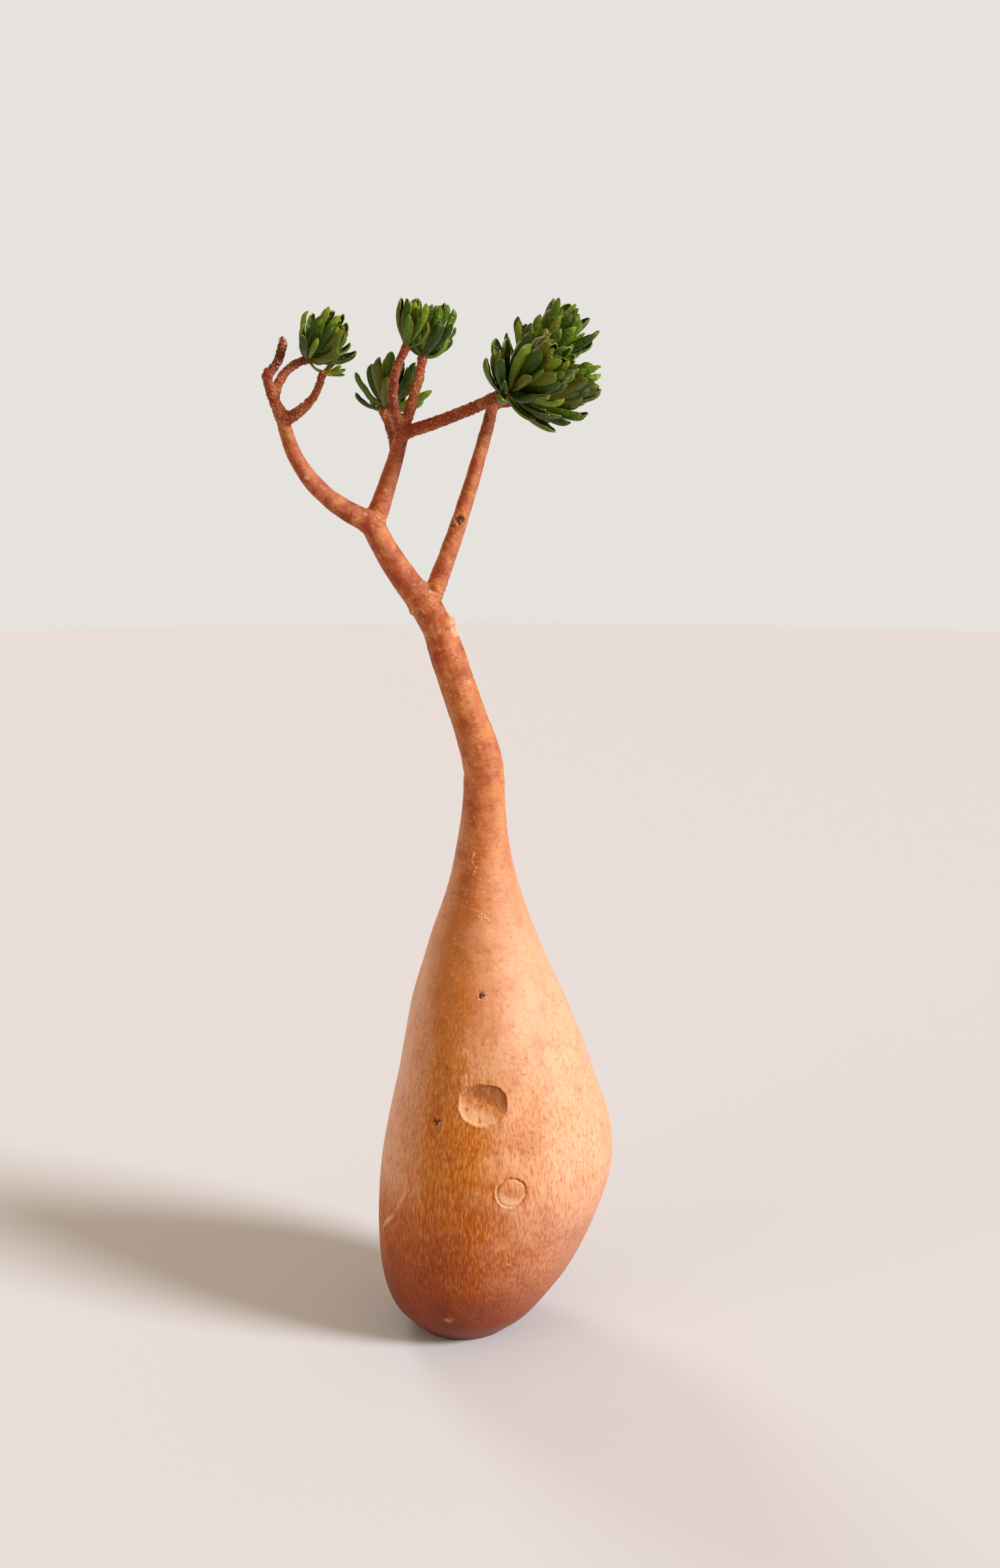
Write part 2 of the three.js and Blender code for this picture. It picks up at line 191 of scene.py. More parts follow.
def trunk_place(t):
    middles = [np.array((right, back, height), float) for height, right, back, _ in TRUNK_SECTIONS]
    radii = np.array([section[3] for section in TRUNK_SECTIONS], float)
    return smooth_path(middles, t), facing_of(lambda s: smooth_path(middles, s), t), smooth_path(radii, t)


def limb_place(start, reach, bow, foot, tip):
    """One bowed curve from start to start + reach, tapering from foot to tip."""
    end = start + np.array(reach, float)
    control = (start + end) / 2 + 2 * np.array(bow, float)
    path = lambda t: start * (1 - t) ** 2 + 2 * control * t * (1 - t) + end * t**2
    return lambda t: (path(t), facing_of(path, t), lerp(foot, tip, t**TAPER) / 2)


def shoot_place(start, end, foot, tip):
    facing = unit(end - start)
    return lambda t: (lerp(start, end, t), facing, lerp(foot, tip, t))


# The rule by which leaves stand on their shoots


def string_of_balls(spots, owner, stem):
    return [(*middle, radius, owner, stem) for middle, radius in spots]


def stem_balls(place, owner, count):
    steps = [place(i / (count - 1)) for i in range(count)]
    return string_of_balls([(middle, radius + STEM_SLACK) for middle, _, radius in steps], owner, 1)


def half_width(length, s):
    """Half the width of a leaf of this length at a share s of its length."""
    widest = (LEAF["width"] / 2) * min(1, (length / LEAF["length"]) * LEAF["young"])
    if s > LEAF["widest"]:
        past = (s - LEAF["widest"]) / (1 - LEAF["widest"])
        return widest * math.sqrt(1 - min(past, 1) ** LEAF["blunt"])
    return widest * lerp(LEAF["petiole"], 1, smoothstep(s, LEAF["swelling"], LEAF["widest"]))


def midline(leaf, s):
    """The middle of a leaf at s, and the direction that its channel faces there."""
    curl = max(leaf["curl"], LEAF["least_curl"])
    turn, radius = curl * s, leaf["length"] / curl
    spot = (leaf["root"] + leaf["out"] * radius * math.sin(turn)
            + leaf["inward"] * radius * (1 - math.cos(turn)))
    return spot, leaf["inward"] * math.cos(turn) - leaf["out"] * math.sin(turn)


def leaf_balls(leaf, owner):
    spots = []
    for i in range(LEAF_BALLS["count"]):
        s = lerp(LEAF_BALLS["from"], LEAF_BALLS["to"], i / (LEAF_BALLS["count"] - 1))
        spot, normal = midline(leaf, s)
        wide = half_width(leaf["length"], s)
        spots.append((spot + normal * LEAF["cup"] * wide * LEAF_BALLS["rise"], wide + LEAF_BALLS["slack"]))
    return string_of_balls(spots, owner, 0)


def is_clear(balls, taken, packing):
    """True if balls keep clear of every limb and other mass, and run only a little into own leaves."""
    for x, y, z, radius, owner, _ in balls:
        own = taken[:, 4] == owner
        share = np.where(own, np.where(taken[:, 5] > 0, 0, packing), 1)
        apart = np.linalg.norm(taken[:, :3] - (x, y, z), axis=1)
        if np.any(apart < (radius + taken[:, 3]) * share):
            return False
    return True


def grow_leaves(shoot, start, owner, roll, taken, packing):
    """The leaves of one shoot, from the lowest to the topmost, each placed where it is clear."""
    _, aim, leafy, count, first_turn, spreads, closing, shoot_curl, scale = shoot
    aim = unit(np.array(aim, float))
    east = unit(np.cross(BACK, aim))
    north = np.cross(aim, east)
    leaves = []
    for i in range(count):
        t = (i + 0.5) / count
        uneven_turn = roll(-UNEVEN["turn"], UNEVEN["turn"])
        uneven_spread = roll(-UNEVEN["spread"], UNEVEN["spread"])
        uneven_length = roll(1 - UNEVEN["length"], 1 + UNEVEN["length"])
        uneven_curl = roll(1 - UNEVEN["curl"], 1 + UNEVEN["curl"])
        top = lerp(1, TOP_LEAVES["length"], smoothstep(t, TOP_LEAVES["from"], TOP_LEAVES["to"]))
        foot = lerp(FOOT_LEAVES["length"], 1, smoothstep(t, FOOT_LEAVES["from"], FOOT_LEAVES["to"]))
        length = LEAF["length"] * scale * (top * foot) * uneven_length
        spread = math.radians(lerp(*spreads, t**closing) + uneven_spread)
        curl = math.radians(shoot_curl * lerp(1, TOP_LEAVES["curl"], t) * uneven_curl)
        for attempt in range(TURN_TRIES):
            step = (1 if attempt % 2 else -1) * math.ceil(attempt / 2) * TURN_STEP
            turn = math.radians(first_turn + i * GOLDEN_TURN + uneven_turn + step)
            radial = east * math.cos(turn) + north * math.sin(turn)
            out = radial * math.sin(spread) + aim * math.cos(spread)
            inward = aim * math.sin(spread) - radial * math.cos(spread) + UP * LIFT
            inward = unit(inward - out * np.dot(inward, out))
            root = start + aim * leafy * t + radial * ROOT_DEPTH
            leaf = {"root": root, "out": out, "inward": inward, "length": length, "curl": curl}
            balls = leaf_balls(leaf, owner)
            if is_clear(balls, taken[0], packing):
                taken[0] = np.vstack((taken[0], balls))
                leaves.append(leaf)
                break
    return leaves


def loosened(leaf, owner, roll, taken):
    """A leaf that curls in less, or more if it hangs down, where that keeps it clear of the limbs and
    the other masses."""
    hanging = smoothstep(-leaf["out"][2], 0.0, 0.5)
    kept = roll(LOOSENING["least"], 1.0) + LOOSENING["hanging"] * hanging
    looser = dict(leaf, curl=leaf["curl"] * kept)
    return looser if is_clear(leaf_balls(looser, owner), taken, 0) else leaf


def grow_tree():
    """Every stem's place and every mass's shoots and leaves: first those that the tree's solids have, then
    the finer ones between them."""
    places = {"trunk": trunk_place}
    balls = stem_balls(trunk_place, 0, TRUNK_RINGS * 2)
    for number, (name, on, share, reach, bow, foot, tip) in enumerate(LIMBS, 1):
        places[name] = limb_place(places[on](share)[0], reach, bow, foot, tip)
        rings = max(FEWEST_RINGS, math.floor(np.linalg.norm(reach) / RING_SPACING + 0.5))
        balls += stem_balls(places[name], number, rings * 2)
    shoots = {}
    for number, (name, on, _, plans) in enumerate(MASSES, 100):
        middle, facing, radius = places[on](1)
        foot = middle + facing * GAP
        shoots[name] = []
        for plan in plans:
            start = foot + np.array(plan[0], float)
            end = start + unit(np.array(plan[1], float)) * (plan[2] + BUD["length"])
            stem = shoot_place(foot, start, radius * SHOOT["foot"], radius * SHOOT["leafy"])
            leafy = shoot_place(start, end, radius * SHOOT["leafy"], BUD["radius"])
            for part in (stem, leafy):
                balls += stem_balls(part, number, SHOOT["balls"])
            shoots[name].append((plan, start, stem, leafy))
    taken = [np.array(balls, float)]
    leaves = {name: [[] for _ in shoots[name]] for name in shoots}
    for growth in GROWTHS:
        for number, (name, _, seed, _) in enumerate(MASSES, 100):
            roll = dice(seed * growth["seed"])
            for grown, (plan, start, _, _) in zip(leaves[name], shoots[name]):
                stem, aim, leafy, count, turn, *bearing, scale = plan
                shoot = (stem, aim, leafy, math.ceil(count * growth["count"]), turn + growth["turn"],
                         *bearing, scale * growth["scale"])
                grown += grow_leaves(shoot, start, number, roll, taken, growth["packing"])
    for number, (name, _, seed, _) in enumerate(MASSES, 100):
        roll = dice(seed * LOOSENING["seed"])
        leaves[name] = [
            [loosened(leaf, number, roll, taken[0]) for leaf in grown] for grown in leaves[name]]
    return places, shoots, leaves


# Modelling helpers


def deselect():
    bpy.ops.object.select_all(action="DESELECT")


def take(piece):
    """Makes a piece the only one selected and the active one."""
    deselect()
    piece.select_set(True)
    bpy.context.view_layer.objects.active = piece


def finish_modifier(piece, kind, **settings):
    """Adds a modifier and applies it."""
    take(piece)
    modifier = piece.modifiers.new(kind.title(), kind)
    for name, value in settings.items():
        setattr(modifier, name, value)
    bpy.ops.object.modifier_apply(modifier=modifier.name)


def join(pieces, name):
    take(pieces[0])
    for piece in pieces:
        piece.select_set(True)
    bpy.ops.object.join()
    joined = bpy.context.object
    joined.name = joined.data.name = name
    return joined


def select_where(piece, wanted):
    """Selects the faces of a mesh in edit mode whose middle, in millimetres, is wanted."""
    bpy.ops.mesh.select_all(action="DESELECT")
    bpy.ops.mesh.select_mode(type="FACE")
    bpy.ops.object.mode_set(mode="OBJECT")
    for face in piece.data.polygons:
        face.select = wanted(*(face.center / MM))
    bpy.ops.object.mode_set(mode="EDIT")


def face_outwards(piece):
    take(piece)
    bpy.ops.object.mode_set(mode="EDIT")
    bpy.ops.mesh.select_all(action="SELECT")
    bpy.ops.mesh.normals_make_consistent(inside=False)
    bpy.ops.object.mode_set(mode="OBJECT")


def spots_of(piece):
    spots = np.empty(len(piece.data.vertices) * 3)
    piece.data.vertices.foreach_get("co", spots)
    return spots.reshape(-1, 3)


def normals_of(piece):
    normals = np.empty(len(piece.data.vertices) * 3, np.float32)
    piece.data.vertex_normals.foreach_get("vector", normals)
    return normals.reshape(-1, 3)


def move_to(piece, spots):
    piece.data.vertices.foreach_set("co", spots.ravel())
    piece.data.update()


def shade_smooth(piece):
    take(piece)
    bpy.ops.object.shade_smooth()


# The swollen trunk, up to the ring at its waist

# Height of the ring at which the swollen body ends and the neck's own bark starts.
WAIST = 1180
# The side that faces the key light, which painted sunlight pales.
PAINTED_SUNLIGHT_SIDE = (0.9, -0.3, 0.25)
BODY_SIDES = 60
# Swells, folds, rings and grain of the body's bark: how high they are below and on the neck, their size
# across and upwards, and a shift so that no two are alike. Then the heights between which it turns neck.
BODY_WAVES = [
    (5.0, 5.0, 210, 330, 0), (1.6, 1.6, 70, 90, 9), (0.2, 0.5, 55, 7.5, 0), (0.4, 0.1, 9, 60, 0),
]
NECK = (620, 1080)
# The soft crease round the waist: how deep it is in millimetres, and how dark it is painted as shade.
CREASE = {"deep": 1.3, "dark": 0.2}
# Rings above the waist, which run up and in under the neck's bark: how much narrower and higher each is.
SLEEVE = [(0.985, 3.0), (0.95, 4.0), (0.5, 2.0)]
# Rings of the body are this share of its radius apart, and at least this far.
RING_SHARE = 0.112
RING_LEAST = 9.5
# Healed round scars: which side of the trunk, right and up, half their size, depth of the bowl, and
# depth of the groove round a flush disc.
DISCS = [
    {"side": -1, "at": (45, 551), "half": (47, 40), "deep": 8.5, "groove": 0},
    {"side": -1, "at": (100, 385), "half": (30, 31), "deep": 1.6, "groove": 3.4},
    {"side": 1, "at": (20, 470), "half": (40, 34), "deep": 7.5, "groove": 0},
    {"side": 1, "at": (-40, 640), "half": (24, 26), "deep": 1.2, "groove": 3.0},
]
# Small old marks: middle, half their width, how far they stand out, and whether dark (-1) or pale (1).
MARKS = [
    ((40, -133, 758), 9, -1.6, -1.0), ((-48, -167, 509), 10, -2.8, -0.9), ((11, -187, 541), 4, -1.2, -0.7),
    ((36, -197, 521), 5, -1.5, -0.9), ((8, -159, 653), 7, 0.8, 0.5), ((-25, -153, 615), 7, -0.9, -0.5),
    ((8, -173, 593), 14, 1.1, 0.4), ((40, -79, 905), 9, 0.7, 0.5),
    ((164, -191, 487), 4, 0.6, -0.6), ((139, -206, 469), 3, -0.6, -0.8),
    ((98, -228, 387), 4, -0.8, -0.4), ((-28, -163, 78), 12, 0.4, 0.5), ((95, -210, 223), 4, 0.4, 0.8),
    ((-60, 180, 430), 9, -1.8, -0.9), ((120, 170, 560), 8, 1.0, 0.6), ((30, 120, 790), 8, -1.2, -0.8),
    ((230, 60, 520), 8, -1.2, -0.7), ((-95, 60, 600), 7, 0.9, 0.6), ((60, 215, 250), 10, 0.9, 0.6),
]
# The edge of an old skin of bark that still covers the left side, smooth and pale, down to this lip.
LIP = [(-112, -130, 428), (-109, -142, 396), (-103, -154, 365), (-128, -131, 300), (-157, -83, 251)]
# Marks drawn out into lines: points, width, how far they stand out, and tone. First scratches, then
# cracks where the neck stretched.
LINES = [
    ([(-99, -144, 434), (-85, -159, 432), (-74, -166, 438)], 1.6, 1.0, 0.6),
    ([(28, -222, 408), (61, -219, 451)], 0.9, 0.0, 0.5),
    ([(20, -221, 420), (48, -217, 458)], 0.8, 0.0, 0.4),
    ([(26, -51, 1026), (22, -52, 1011), (30, -58, 997), (25, -59, 984)], 2.2, 0.9, 0.8),
    ([(56, -57, 1000), (59, -59, 986)], 1.2, 0.5, 0.6),
    ([(90, -40, 984), (92, -43, 968)], 1.2, 0.5, 0.6),
    ([(19, -77, 918), (35, -81, 914), (55, -86, 898)], 1.8, 0.8, 0.6),
    ([(98, -148, 699), (106, -149, 687), (116, -144, 693)], 1.8, 0.9, 0.8),
    ([(-7, -155, 647), (23, -163, 648), (51, -161, 671)], 1.5, 0.7, 0.5),
    ([(120, 60, 760), (118, 66, 730), (126, 64, 700)], 1.8, 0.8, 0.7),
    ([(-60, 166, 520), (-30, 180, 512), (0, 188, 520)], 1.6, 0.8, 0.6),
]
# How near each kind of mark the body's faces are refined: in its own radii, or in millimetres.
REFINED = {"disc": 1.3, "mark": 1.5, "line": 8, "lip": 10}


def body_stations():
    """Shares of the way up the trunk at which the body has a ring, closer where it is thin."""
    shares, t, low = [0.0], 0.0, 0.0
    while True:
        t += 0.0002
        middle, _, radius = trunk_place(t)
        if middle[2] >= WAIST:
            return shares + [t]
        if middle[2] - low >= max(radius * RING_SHARE, RING_LEAST):
            shares.append(t)
            low = middle[2]


def faded_in(values, start, span):
    """For each of many values, 0 up to start, rising to 1 a span further on."""
    return np.clip((values - start) / span, 0, 1)


def waist_crease(z):
    """How deep a spot at this height is in the soft crease round the waist, from 0 to 1."""
    return ridge(z - WAIST, -3, 8)


def from_disc(disc, x, y, z):
    """How far right and up a spot is from a round scar's middle, and how far out, where 1 is its edge."""
    if y * disc["side"] < 0:
        return 9.0, 9.0, 9.0
    right, up = (x - disc["at"][0]) / disc["half"][0], (z - disc["at"][1]) / disc["half"][1]
    blunt = 2.6 if up > 0 and disc["deep"] > 5 else 2.0
    return right, up, (abs(right) ** blunt + abs(up) ** blunt) ** (1 / blunt)


def disc_relief(disc, x, y, z):
    """A scar's height in millimetres and tone: a smooth bowl or disc, with a painted highlight low on the
    left of its rim and in its bowl, and painted shade high on the right."""
    right, up, d = from_disc(disc, x, y, z)
    if d > 1.6:
        return 0.0, 0.0
    d += 0.05 * ripple(x / 14, 3, z / 14) + 0.03 * ripple(x / 4, 7, z / 4)
    rim = ridge(d, 0.99, 0.045)
    height = -disc["deep"] * max(0.0, 1 - d * d) ** 0.75 - disc["groove"] * ridge(d, 0.94, 0.05)
    towards = (right + up) / math.hypot(right, up, 1e-3) / math.sqrt(2)
    height += 0.9 * ridge(d, 1.06, 0.07) * max(0, -towards)
    within = 1 - smoothstep(d, 0.9, 1.0)
    # Painted highlight low on the left inside the scar, and painted shade high on the right of a deep bowl.
    low = smoothstep(-up - 0.4 * right, 0.05, 0.6) * within
    high = smoothstep(up + 0.5 * right, -0.2, 0.5) * within * (disc["deep"] > 5)
    # The rim is painted shade high on the right and a painted highlight low on the left.
    return height, rim * (-0.95 * max(0, towards) + max(0, -towards)) + 0.9 * low - 0.5 * high


def from_line(spot, line):
    """Distance in millimetres from a spot to a line through points, and the nearest point on it."""
    nearest = min((a + (b - a) * min(max((spot - a).dot(b - a) / (b - a).length_squared, 0), 1)
                   for a, b in zip(line, line[1:])), key=lambda point: (spot - point).length)
    return (spot - nearest).length, nearest


def lip_relief(spot):
    """Height and tone of the old skin that ends at the lip: raised and pale on its left, and a step."""
    if spot.x > 0 or spot.y > 0 or not 150 < spot.z < 520:
        return 0.0, 0.0
    away, nearest = from_line(spot, [Vector(point) for point in LIP])
    ragged = (nearest.x - spot.x) + (nearest.z - spot.z) * 0.35 + 3.5 * noise.noise(spot / 7)
    on_skin = smoothstep(ragged, -1.2, 1.2) * (1 - smoothstep(away, 20, 70))
    # The lip is sharp and pale only low down, and fades into the bark above.
    crisp = 1 - smoothstep(spot.z, 330, 420)
    edge = ridge(away, 0, 3.8) * on_skin * crisp
    paleness = smoothstep(ragged, -16, 12) * (1 - smoothstep(away, 10, 60))
    return lerp(0.6, 2.2, crisp) * on_skin + 2.0 * edge, 0.26 * paleness + 1.3 * edge


def body_height(x, y, z, drawn):
    """How far the bark stands out in millimetres, and how pale (1) or dark (-1) it is there: its marks,
    and the painted shade and highlight at its scars and in the waist's crease.
    """
    spot = Vector((x, y, z))
    neck = smoothstep(z, *NECK)
    height = sum(lerp(below, above, neck) * ripple(x / across + shift, y / across, z / up)
                 for below, above, across, up, shift in BODY_WAVES)
    height *= 1 - smoothstep(z, WAIST - 70, WAIST - 6)
    height -= CREASE["deep"] * waist_crease(z)
    # Painted shade in the crease round the waist.
    tone = -CREASE["dark"] * waist_crease(z)
    for rise, shade in [disc_relief(disc, x, y, z) for disc in DISCS] + [lip_relief(spot)]:
        height += rise
        tone += shade
    for middle, half, out, shade in MARKS:
        away = math.dist((x, y, z), middle) / half
        if away < 2:
            away += 0.9 * noise.noise(spot * (2.2 / half))
            core = 1 - smoothstep(away, 0.4, 1.0)
            height += out * core
            tone += shade * core
    for points, width, out, shade in drawn:
        if (spot - points[0]).length < 90:
            edge = ridge(from_line(spot, points)[0], 0, width)
            edge *= 0.7 + 1.4 * noise.noise(spot / 5)
            height += out * edge
            tone += shade * edge
    return height, min(max(tone, -1), 1)


def keep_painted_sunlight_and_sheen(piece):
    """Keeps how pale each spot is: painted sunlight on the side that faces the key light, with a patchy
    edge, fading towards the ground, and a painted sheen on the left flank over the old skin there, both
    less so from the neck upwards."""
    spots, normals = spots_of(piece) / MM, normals_of(piece)
    patches = [noise.noise(Vector(spot) / 60) + 0.5 * noise.noise(Vector(spot) / 17) for spot in spots]
    facing = normals @ unit(np.array(PAINTED_SUNLIGHT_SIDE)) + 0.2 * np.array(patches)
    # Painted sunlight: paler where the surface faces the key light.
    painted_sunlit = faded_in(facing, 0.1, 0.65)
    # Painted sheen on the left-facing flank, over the old skin there.
    old_skin_and_painted_sheen = faded_in(-normals[:, 0], 0.6, 0.3) * faded_in(spots[:, 2], 290, 90)
    above, low = faded_in(spots[:, 2], 780, 330), faded_in(spots[:, 2], 60, 330)
    keep_values(piece, "painted_sunlight_and_sheen", np.maximum(
        painted_sunlit * low * (1 - 0.75 * above), old_skin_and_painted_sheen * (0.9 - 0.7 * above)))


def keep_values(piece, name, values):
    """Keeps a number for each vertex on the mesh, for its material."""
    kept = piece.data.attributes.new(name, "FLOAT", "POINT")
    kept.data.foreach_set("value", np.array(values, np.float32))


def swollen_trunk():
    """A circle extruded ring by ring up the trunk, smoothed, refined at its scars and given relief."""
    shares = body_stations()
    middle, _, radius = trunk_place(0)
    deselect()
    bpy.ops.mesh.primitive_circle_add(vertices=BODY_SIDES, radius=radius * MM, location=(0, 0, 0))
    piece = bpy.context.object
    piece.name = piece.data.name = "swollen_trunk"
    bpy.ops.object.mode_set(mode="EDIT")
    bpy.ops.mesh.select_all(action="SELECT")
    for share in shares[1:]:
        above, _, wide = trunk_place(share)
        bpy.ops.mesh.extrude_region_move(TRANSFORM_OT_translate={"value": (above - middle) * MM})
        bpy.ops.transform.resize(value=(wide / radius, wide / radius, 1), center_override=above * MM)
        middle, radius = above, wide
    bpy.ops.object.mode_set(mode="OBJECT")
    finish_modifier(piece, "SUBSURF", levels=2, render_levels=2)
    bpy.ops.object.mode_set(mode="EDIT")
    drawn = [([Vector(point) for point in points], *rest) for points, *rest in LINES]
    lip = [Vector(point) for point in LIP]
    select_where(piece, lambda x, y, z: any(from_disc(disc, x, y, z)[2] < REFINED["disc"] for disc in DISCS)
                 or any(math.dist((x, y, z), at) < REFINED["mark"] * half for at, half, _, _ in MARKS)
                 or any(from_line(Vector((x, y, z)), points)[0] < REFINED["line"] for points, *_ in drawn)
                 or (x < 0 and y < 0 and z < 460 and from_line(Vector((x, y, z)), lip)[0] < REFINED["lip"]))
    bpy.ops.mesh.subdivide(number_cuts=2)
    # The sleeve above the waist is closed, and then the ground cut, flat.
    bpy.ops.mesh.select_mode(type="EDGE")
    bpy.ops.mesh.select_all(action="DESELECT")
    bpy.ops.mesh.select_non_manifold()
    bpy.ops.object.mode_set(mode="OBJECT")
    for vertex in piece.data.vertices:
        vertex.select = vertex.select and vertex.co.z > MM
    for edge in piece.data.edges:
        edge.select = all(piece.data.vertices[i].select for i in edge.vertices)
    bpy.ops.object.mode_set(mode="EDIT")
    for shrink, rise in SLEEVE:
        bpy.ops.mesh.extrude_region_move(TRANSFORM_OT_translate={"value": (0, 0, rise * MM)})
        bpy.ops.transform.resize(value=(shrink, shrink, 1), center_override=middle * MM)
    bpy.ops.mesh.edge_face_add()
    bpy.ops.mesh.select_all(action="DESELECT")
    bpy.ops.mesh.select_non_manifold()
    bpy.ops.mesh.edge_face_add()
    bpy.ops.object.mode_set(mode="OBJECT")
    face_outwards(piece)
    spots = spots_of(piece)
    relief = np.array([body_height(*spot, drawn) for spot in spots / MM])
    # The marks' tones, with the painted shade and highlight of the scars and the crease.
    keep_values(piece, "marks", relief[:, 1])
    push = normals_of(piece) * (relief[:, 0] * MM)[:, None]
    push[:, 2] *= spots[:, 2] > 20 * MM
    move_to(piece, spots + push)
    # Painted sunlight and sheen on the body.
    keep_painted_sunlight_and_sheen(piece)
    shade_smooth(piece)
    return piece


# The neck, boughs, limbs, twigs and shoots, grown together

VOXEL = 2.15
SMOOTHING = {"factor": 0.5, "iterations": 7}
LIMB_STEP = 3.0
# How far below the waist the neck starts, and how far a shoot's stem is sunk into its limb.
NECK_OVERLAP = 16
SUNK = 4
# How much wider a limb is at its very foot, and how far along it that fades.
COLLAR = {"wider": 0.2, "reach": 14}
# Stems are young twigs below the first of these radii, and old limbs above the second.
TWIG_RADII = (11.0, 15.0)
# How far apart the bark's patterns on two stems are taken, so that they never match.
STEM_SHIFT = 500
# Waves of the limbs' bark: how high they are, and their size round the limb and along it.
LIMB_WAVES = [(0.9, 24, 30), (0.5, 13, 5)]
# Folds near the right bough's foot: where along it they fade, their spacing, height and paleness.
FOLDS = {"along": (30, 95), "apart": 5.5, "high": 2.6, "pale": 0.9}
# Knobs that leaf scars make on twigs: their height, and their half width as a share of their spacing.
KNOBS = {"apart": 8.5, "high": 2.3, "half": 0.55}
# The stem that ends blunt, torn and flaky, and the one that healed over, pale and round.
TORN, HEALED = "left_bare_twig", "stub"
# How far the healed stub's knob reaches against its solid, and how much of a stem is its bare end.
HEALED_REACH = 0.76
BARE_END = 16
# Old marks on the neck and limbs, as on the trunk.
LIMB_MARKS = [
    ((-1, 28, 1677), 11, -3.4, -1.0), ((-14, 27, 1667), 6, -1.6, -0.8), ((-106, 29, 1821), 7, -1.8, -0.9),
    ((-121, -2, 1628), 6, -1.2, -0.7), ((36, -36, 1259), 5, 0.6, 0.5), ((-8, -26, 1412), 4, -0.8, -0.6),
    ((-182, -23, 1689), 5, 0.7, 0.7), ((-290, -54, 1758), 5, 0.8, 0.7), ((-255, -42, 1720), 4, -0.8, -0.6),
    ((10, 38, 1340), 7, -1.2, -0.8), ((60, 75, 1800), 6, -1.1, -0.8), ((-60, 40, 1500), 7, -1.0, -0.6),
]


def collar(along):
    """How much wider a limb is than its taper, at this many millimetres from its foot."""
    return 1 + COLLAR["wider"] * ridge(along, 0, COLLAR["reach"])


def tube(name, steps):
    """A round limb: a curve with its own thickness at each step, made a closed mesh."""
    deselect()
    bpy.ops.curve.primitive_nurbs_path_add(location=(0, 0, 0))
    piece = bpy.context.object
    piece.name = name
    curve = piece.data
    curve.splines.clear()
    spline = curve.splines.new("POLY")
    spline.points.add(len(steps) - 1)
    for point, (middle, radius) in zip(spline.points, steps):
        point.co = (*(middle * MM), 1)
        point.radius = radius
    curve.dimensions = "3D"
    curve.bevel_depth = MM
    curve.bevel_resolution = 6
    curve.use_fill_caps = True
    bpy.ops.object.convert(target="MESH")
    return piece


def walk(place, low=0.0):
    """Evenly spaced steps along a limb, with the length walked: middle, facing, radius, along."""
    count = 400
    fine = [place(low + (1 - low) * i / count) for i in range(count + 1)]
    lengths = np.concatenate(([0], np.cumsum([
        np.linalg.norm(b[0] - a[0]) for a, b in zip(fine, fine[1:])])))
    wanted = np.linspace(0, lengths[-1], max(4, int(lengths[-1] / LIMB_STEP)) + 1)
    picks = np.minimum(np.searchsorted(lengths, wanted - 1e-6), count)
    return [(*fine[i], lengths[i]) for i in picks]


def neck_share():
    """The share of the way up the trunk where the neck starts, a little below the waist."""
    t = 0.5
    while trunk_place(t)[0][2] < WAIST - NECK_OVERLAP:
        t += 0.0005
    return t


def round_end(left):
    """How wide the healed stub is against its taper, this many millimetres before its end."""
    return math.sqrt(max(0.1, 1 - max(0, 1 - left / BARE_END) ** 2))


def twiginess(radius):
    """How far a stem of this radius is a young twig, knobbly with leaf scars."""
    return 1 - smoothstep(radius, *TWIG_RADII)


def limb_relief(name, seed, along, around, radius, spot, length):
    """How far a limb's bark stands out in millimetres, and how pale (1) or dark (-1) a mark there is."""
    x, y = radius * math.cos(around), radius * math.sin(around)
    lumps = noise.noise(Vector(spot) / 6)
    height = sum(high * ripple(x / across + seed, y / across, along / up)
                 for high, across, up in LIMB_WAVES)
    tone = 0.0
    if name == "right_bough":
        fold = (1 - smoothstep(along, *FOLDS["along"])) * ripple(x / 20, y / 20, along / FOLDS["apart"])
        height += FOLDS["high"] * fold
        tone += FOLDS["pale"] * fold
    if name == "middle_limb":
        height += 1.8 * ridge(along, 34, 16) * abs(ripple(x / 16, y / 16, along / 4.5))
    twiggy = twiginess(radius)
    if twiggy > 0:
        wobble = noise.noise_vector(Vector((x, y, along)) / 7) * 2.5
        away = noise.voronoi((Vector((x + 25 * seed, y, along)) + wobble) / KNOBS["apart"])[0][0]
        height += twiggy * (KNOBS["high"] * max(0, 1 - away / KNOBS["half"]) - 0.5)
    if name == HEALED:
        end = smoothstep(along, length - BARE_END, length - 4)
        height += end * 2.6 * lumps
        tone += end * (0.85 + 1.1 * lumps)
    if name == TORN:
        end = smoothstep(along, length - BARE_END, length - 2)
        flake = ripple(x / 4, y / 4, along / 14)
        height += end * 3.4 * flake + 6.5 * smoothstep(along, length - 4, length) * lumps
        tone += end * (0.35 + 1.8 * flake)
    for middle, half, out, shade in LIMB_MARKS:
        away = math.dist(spot, middle) / half
        if away < 2:
            away += 0.8 * noise.noise(Vector(spot) / half * 1.6)
            core = 1 - smoothstep(away, 0.45, 0.95)
            rim = ridge(away, 1.12, 0.2) * (0.5 + 1.3 * lumps)
            height += out * core + 0.45 * abs(out) * rim
            tone += shade * core + 0.5 * rim
    return height, min(max(tone, -1), 1)


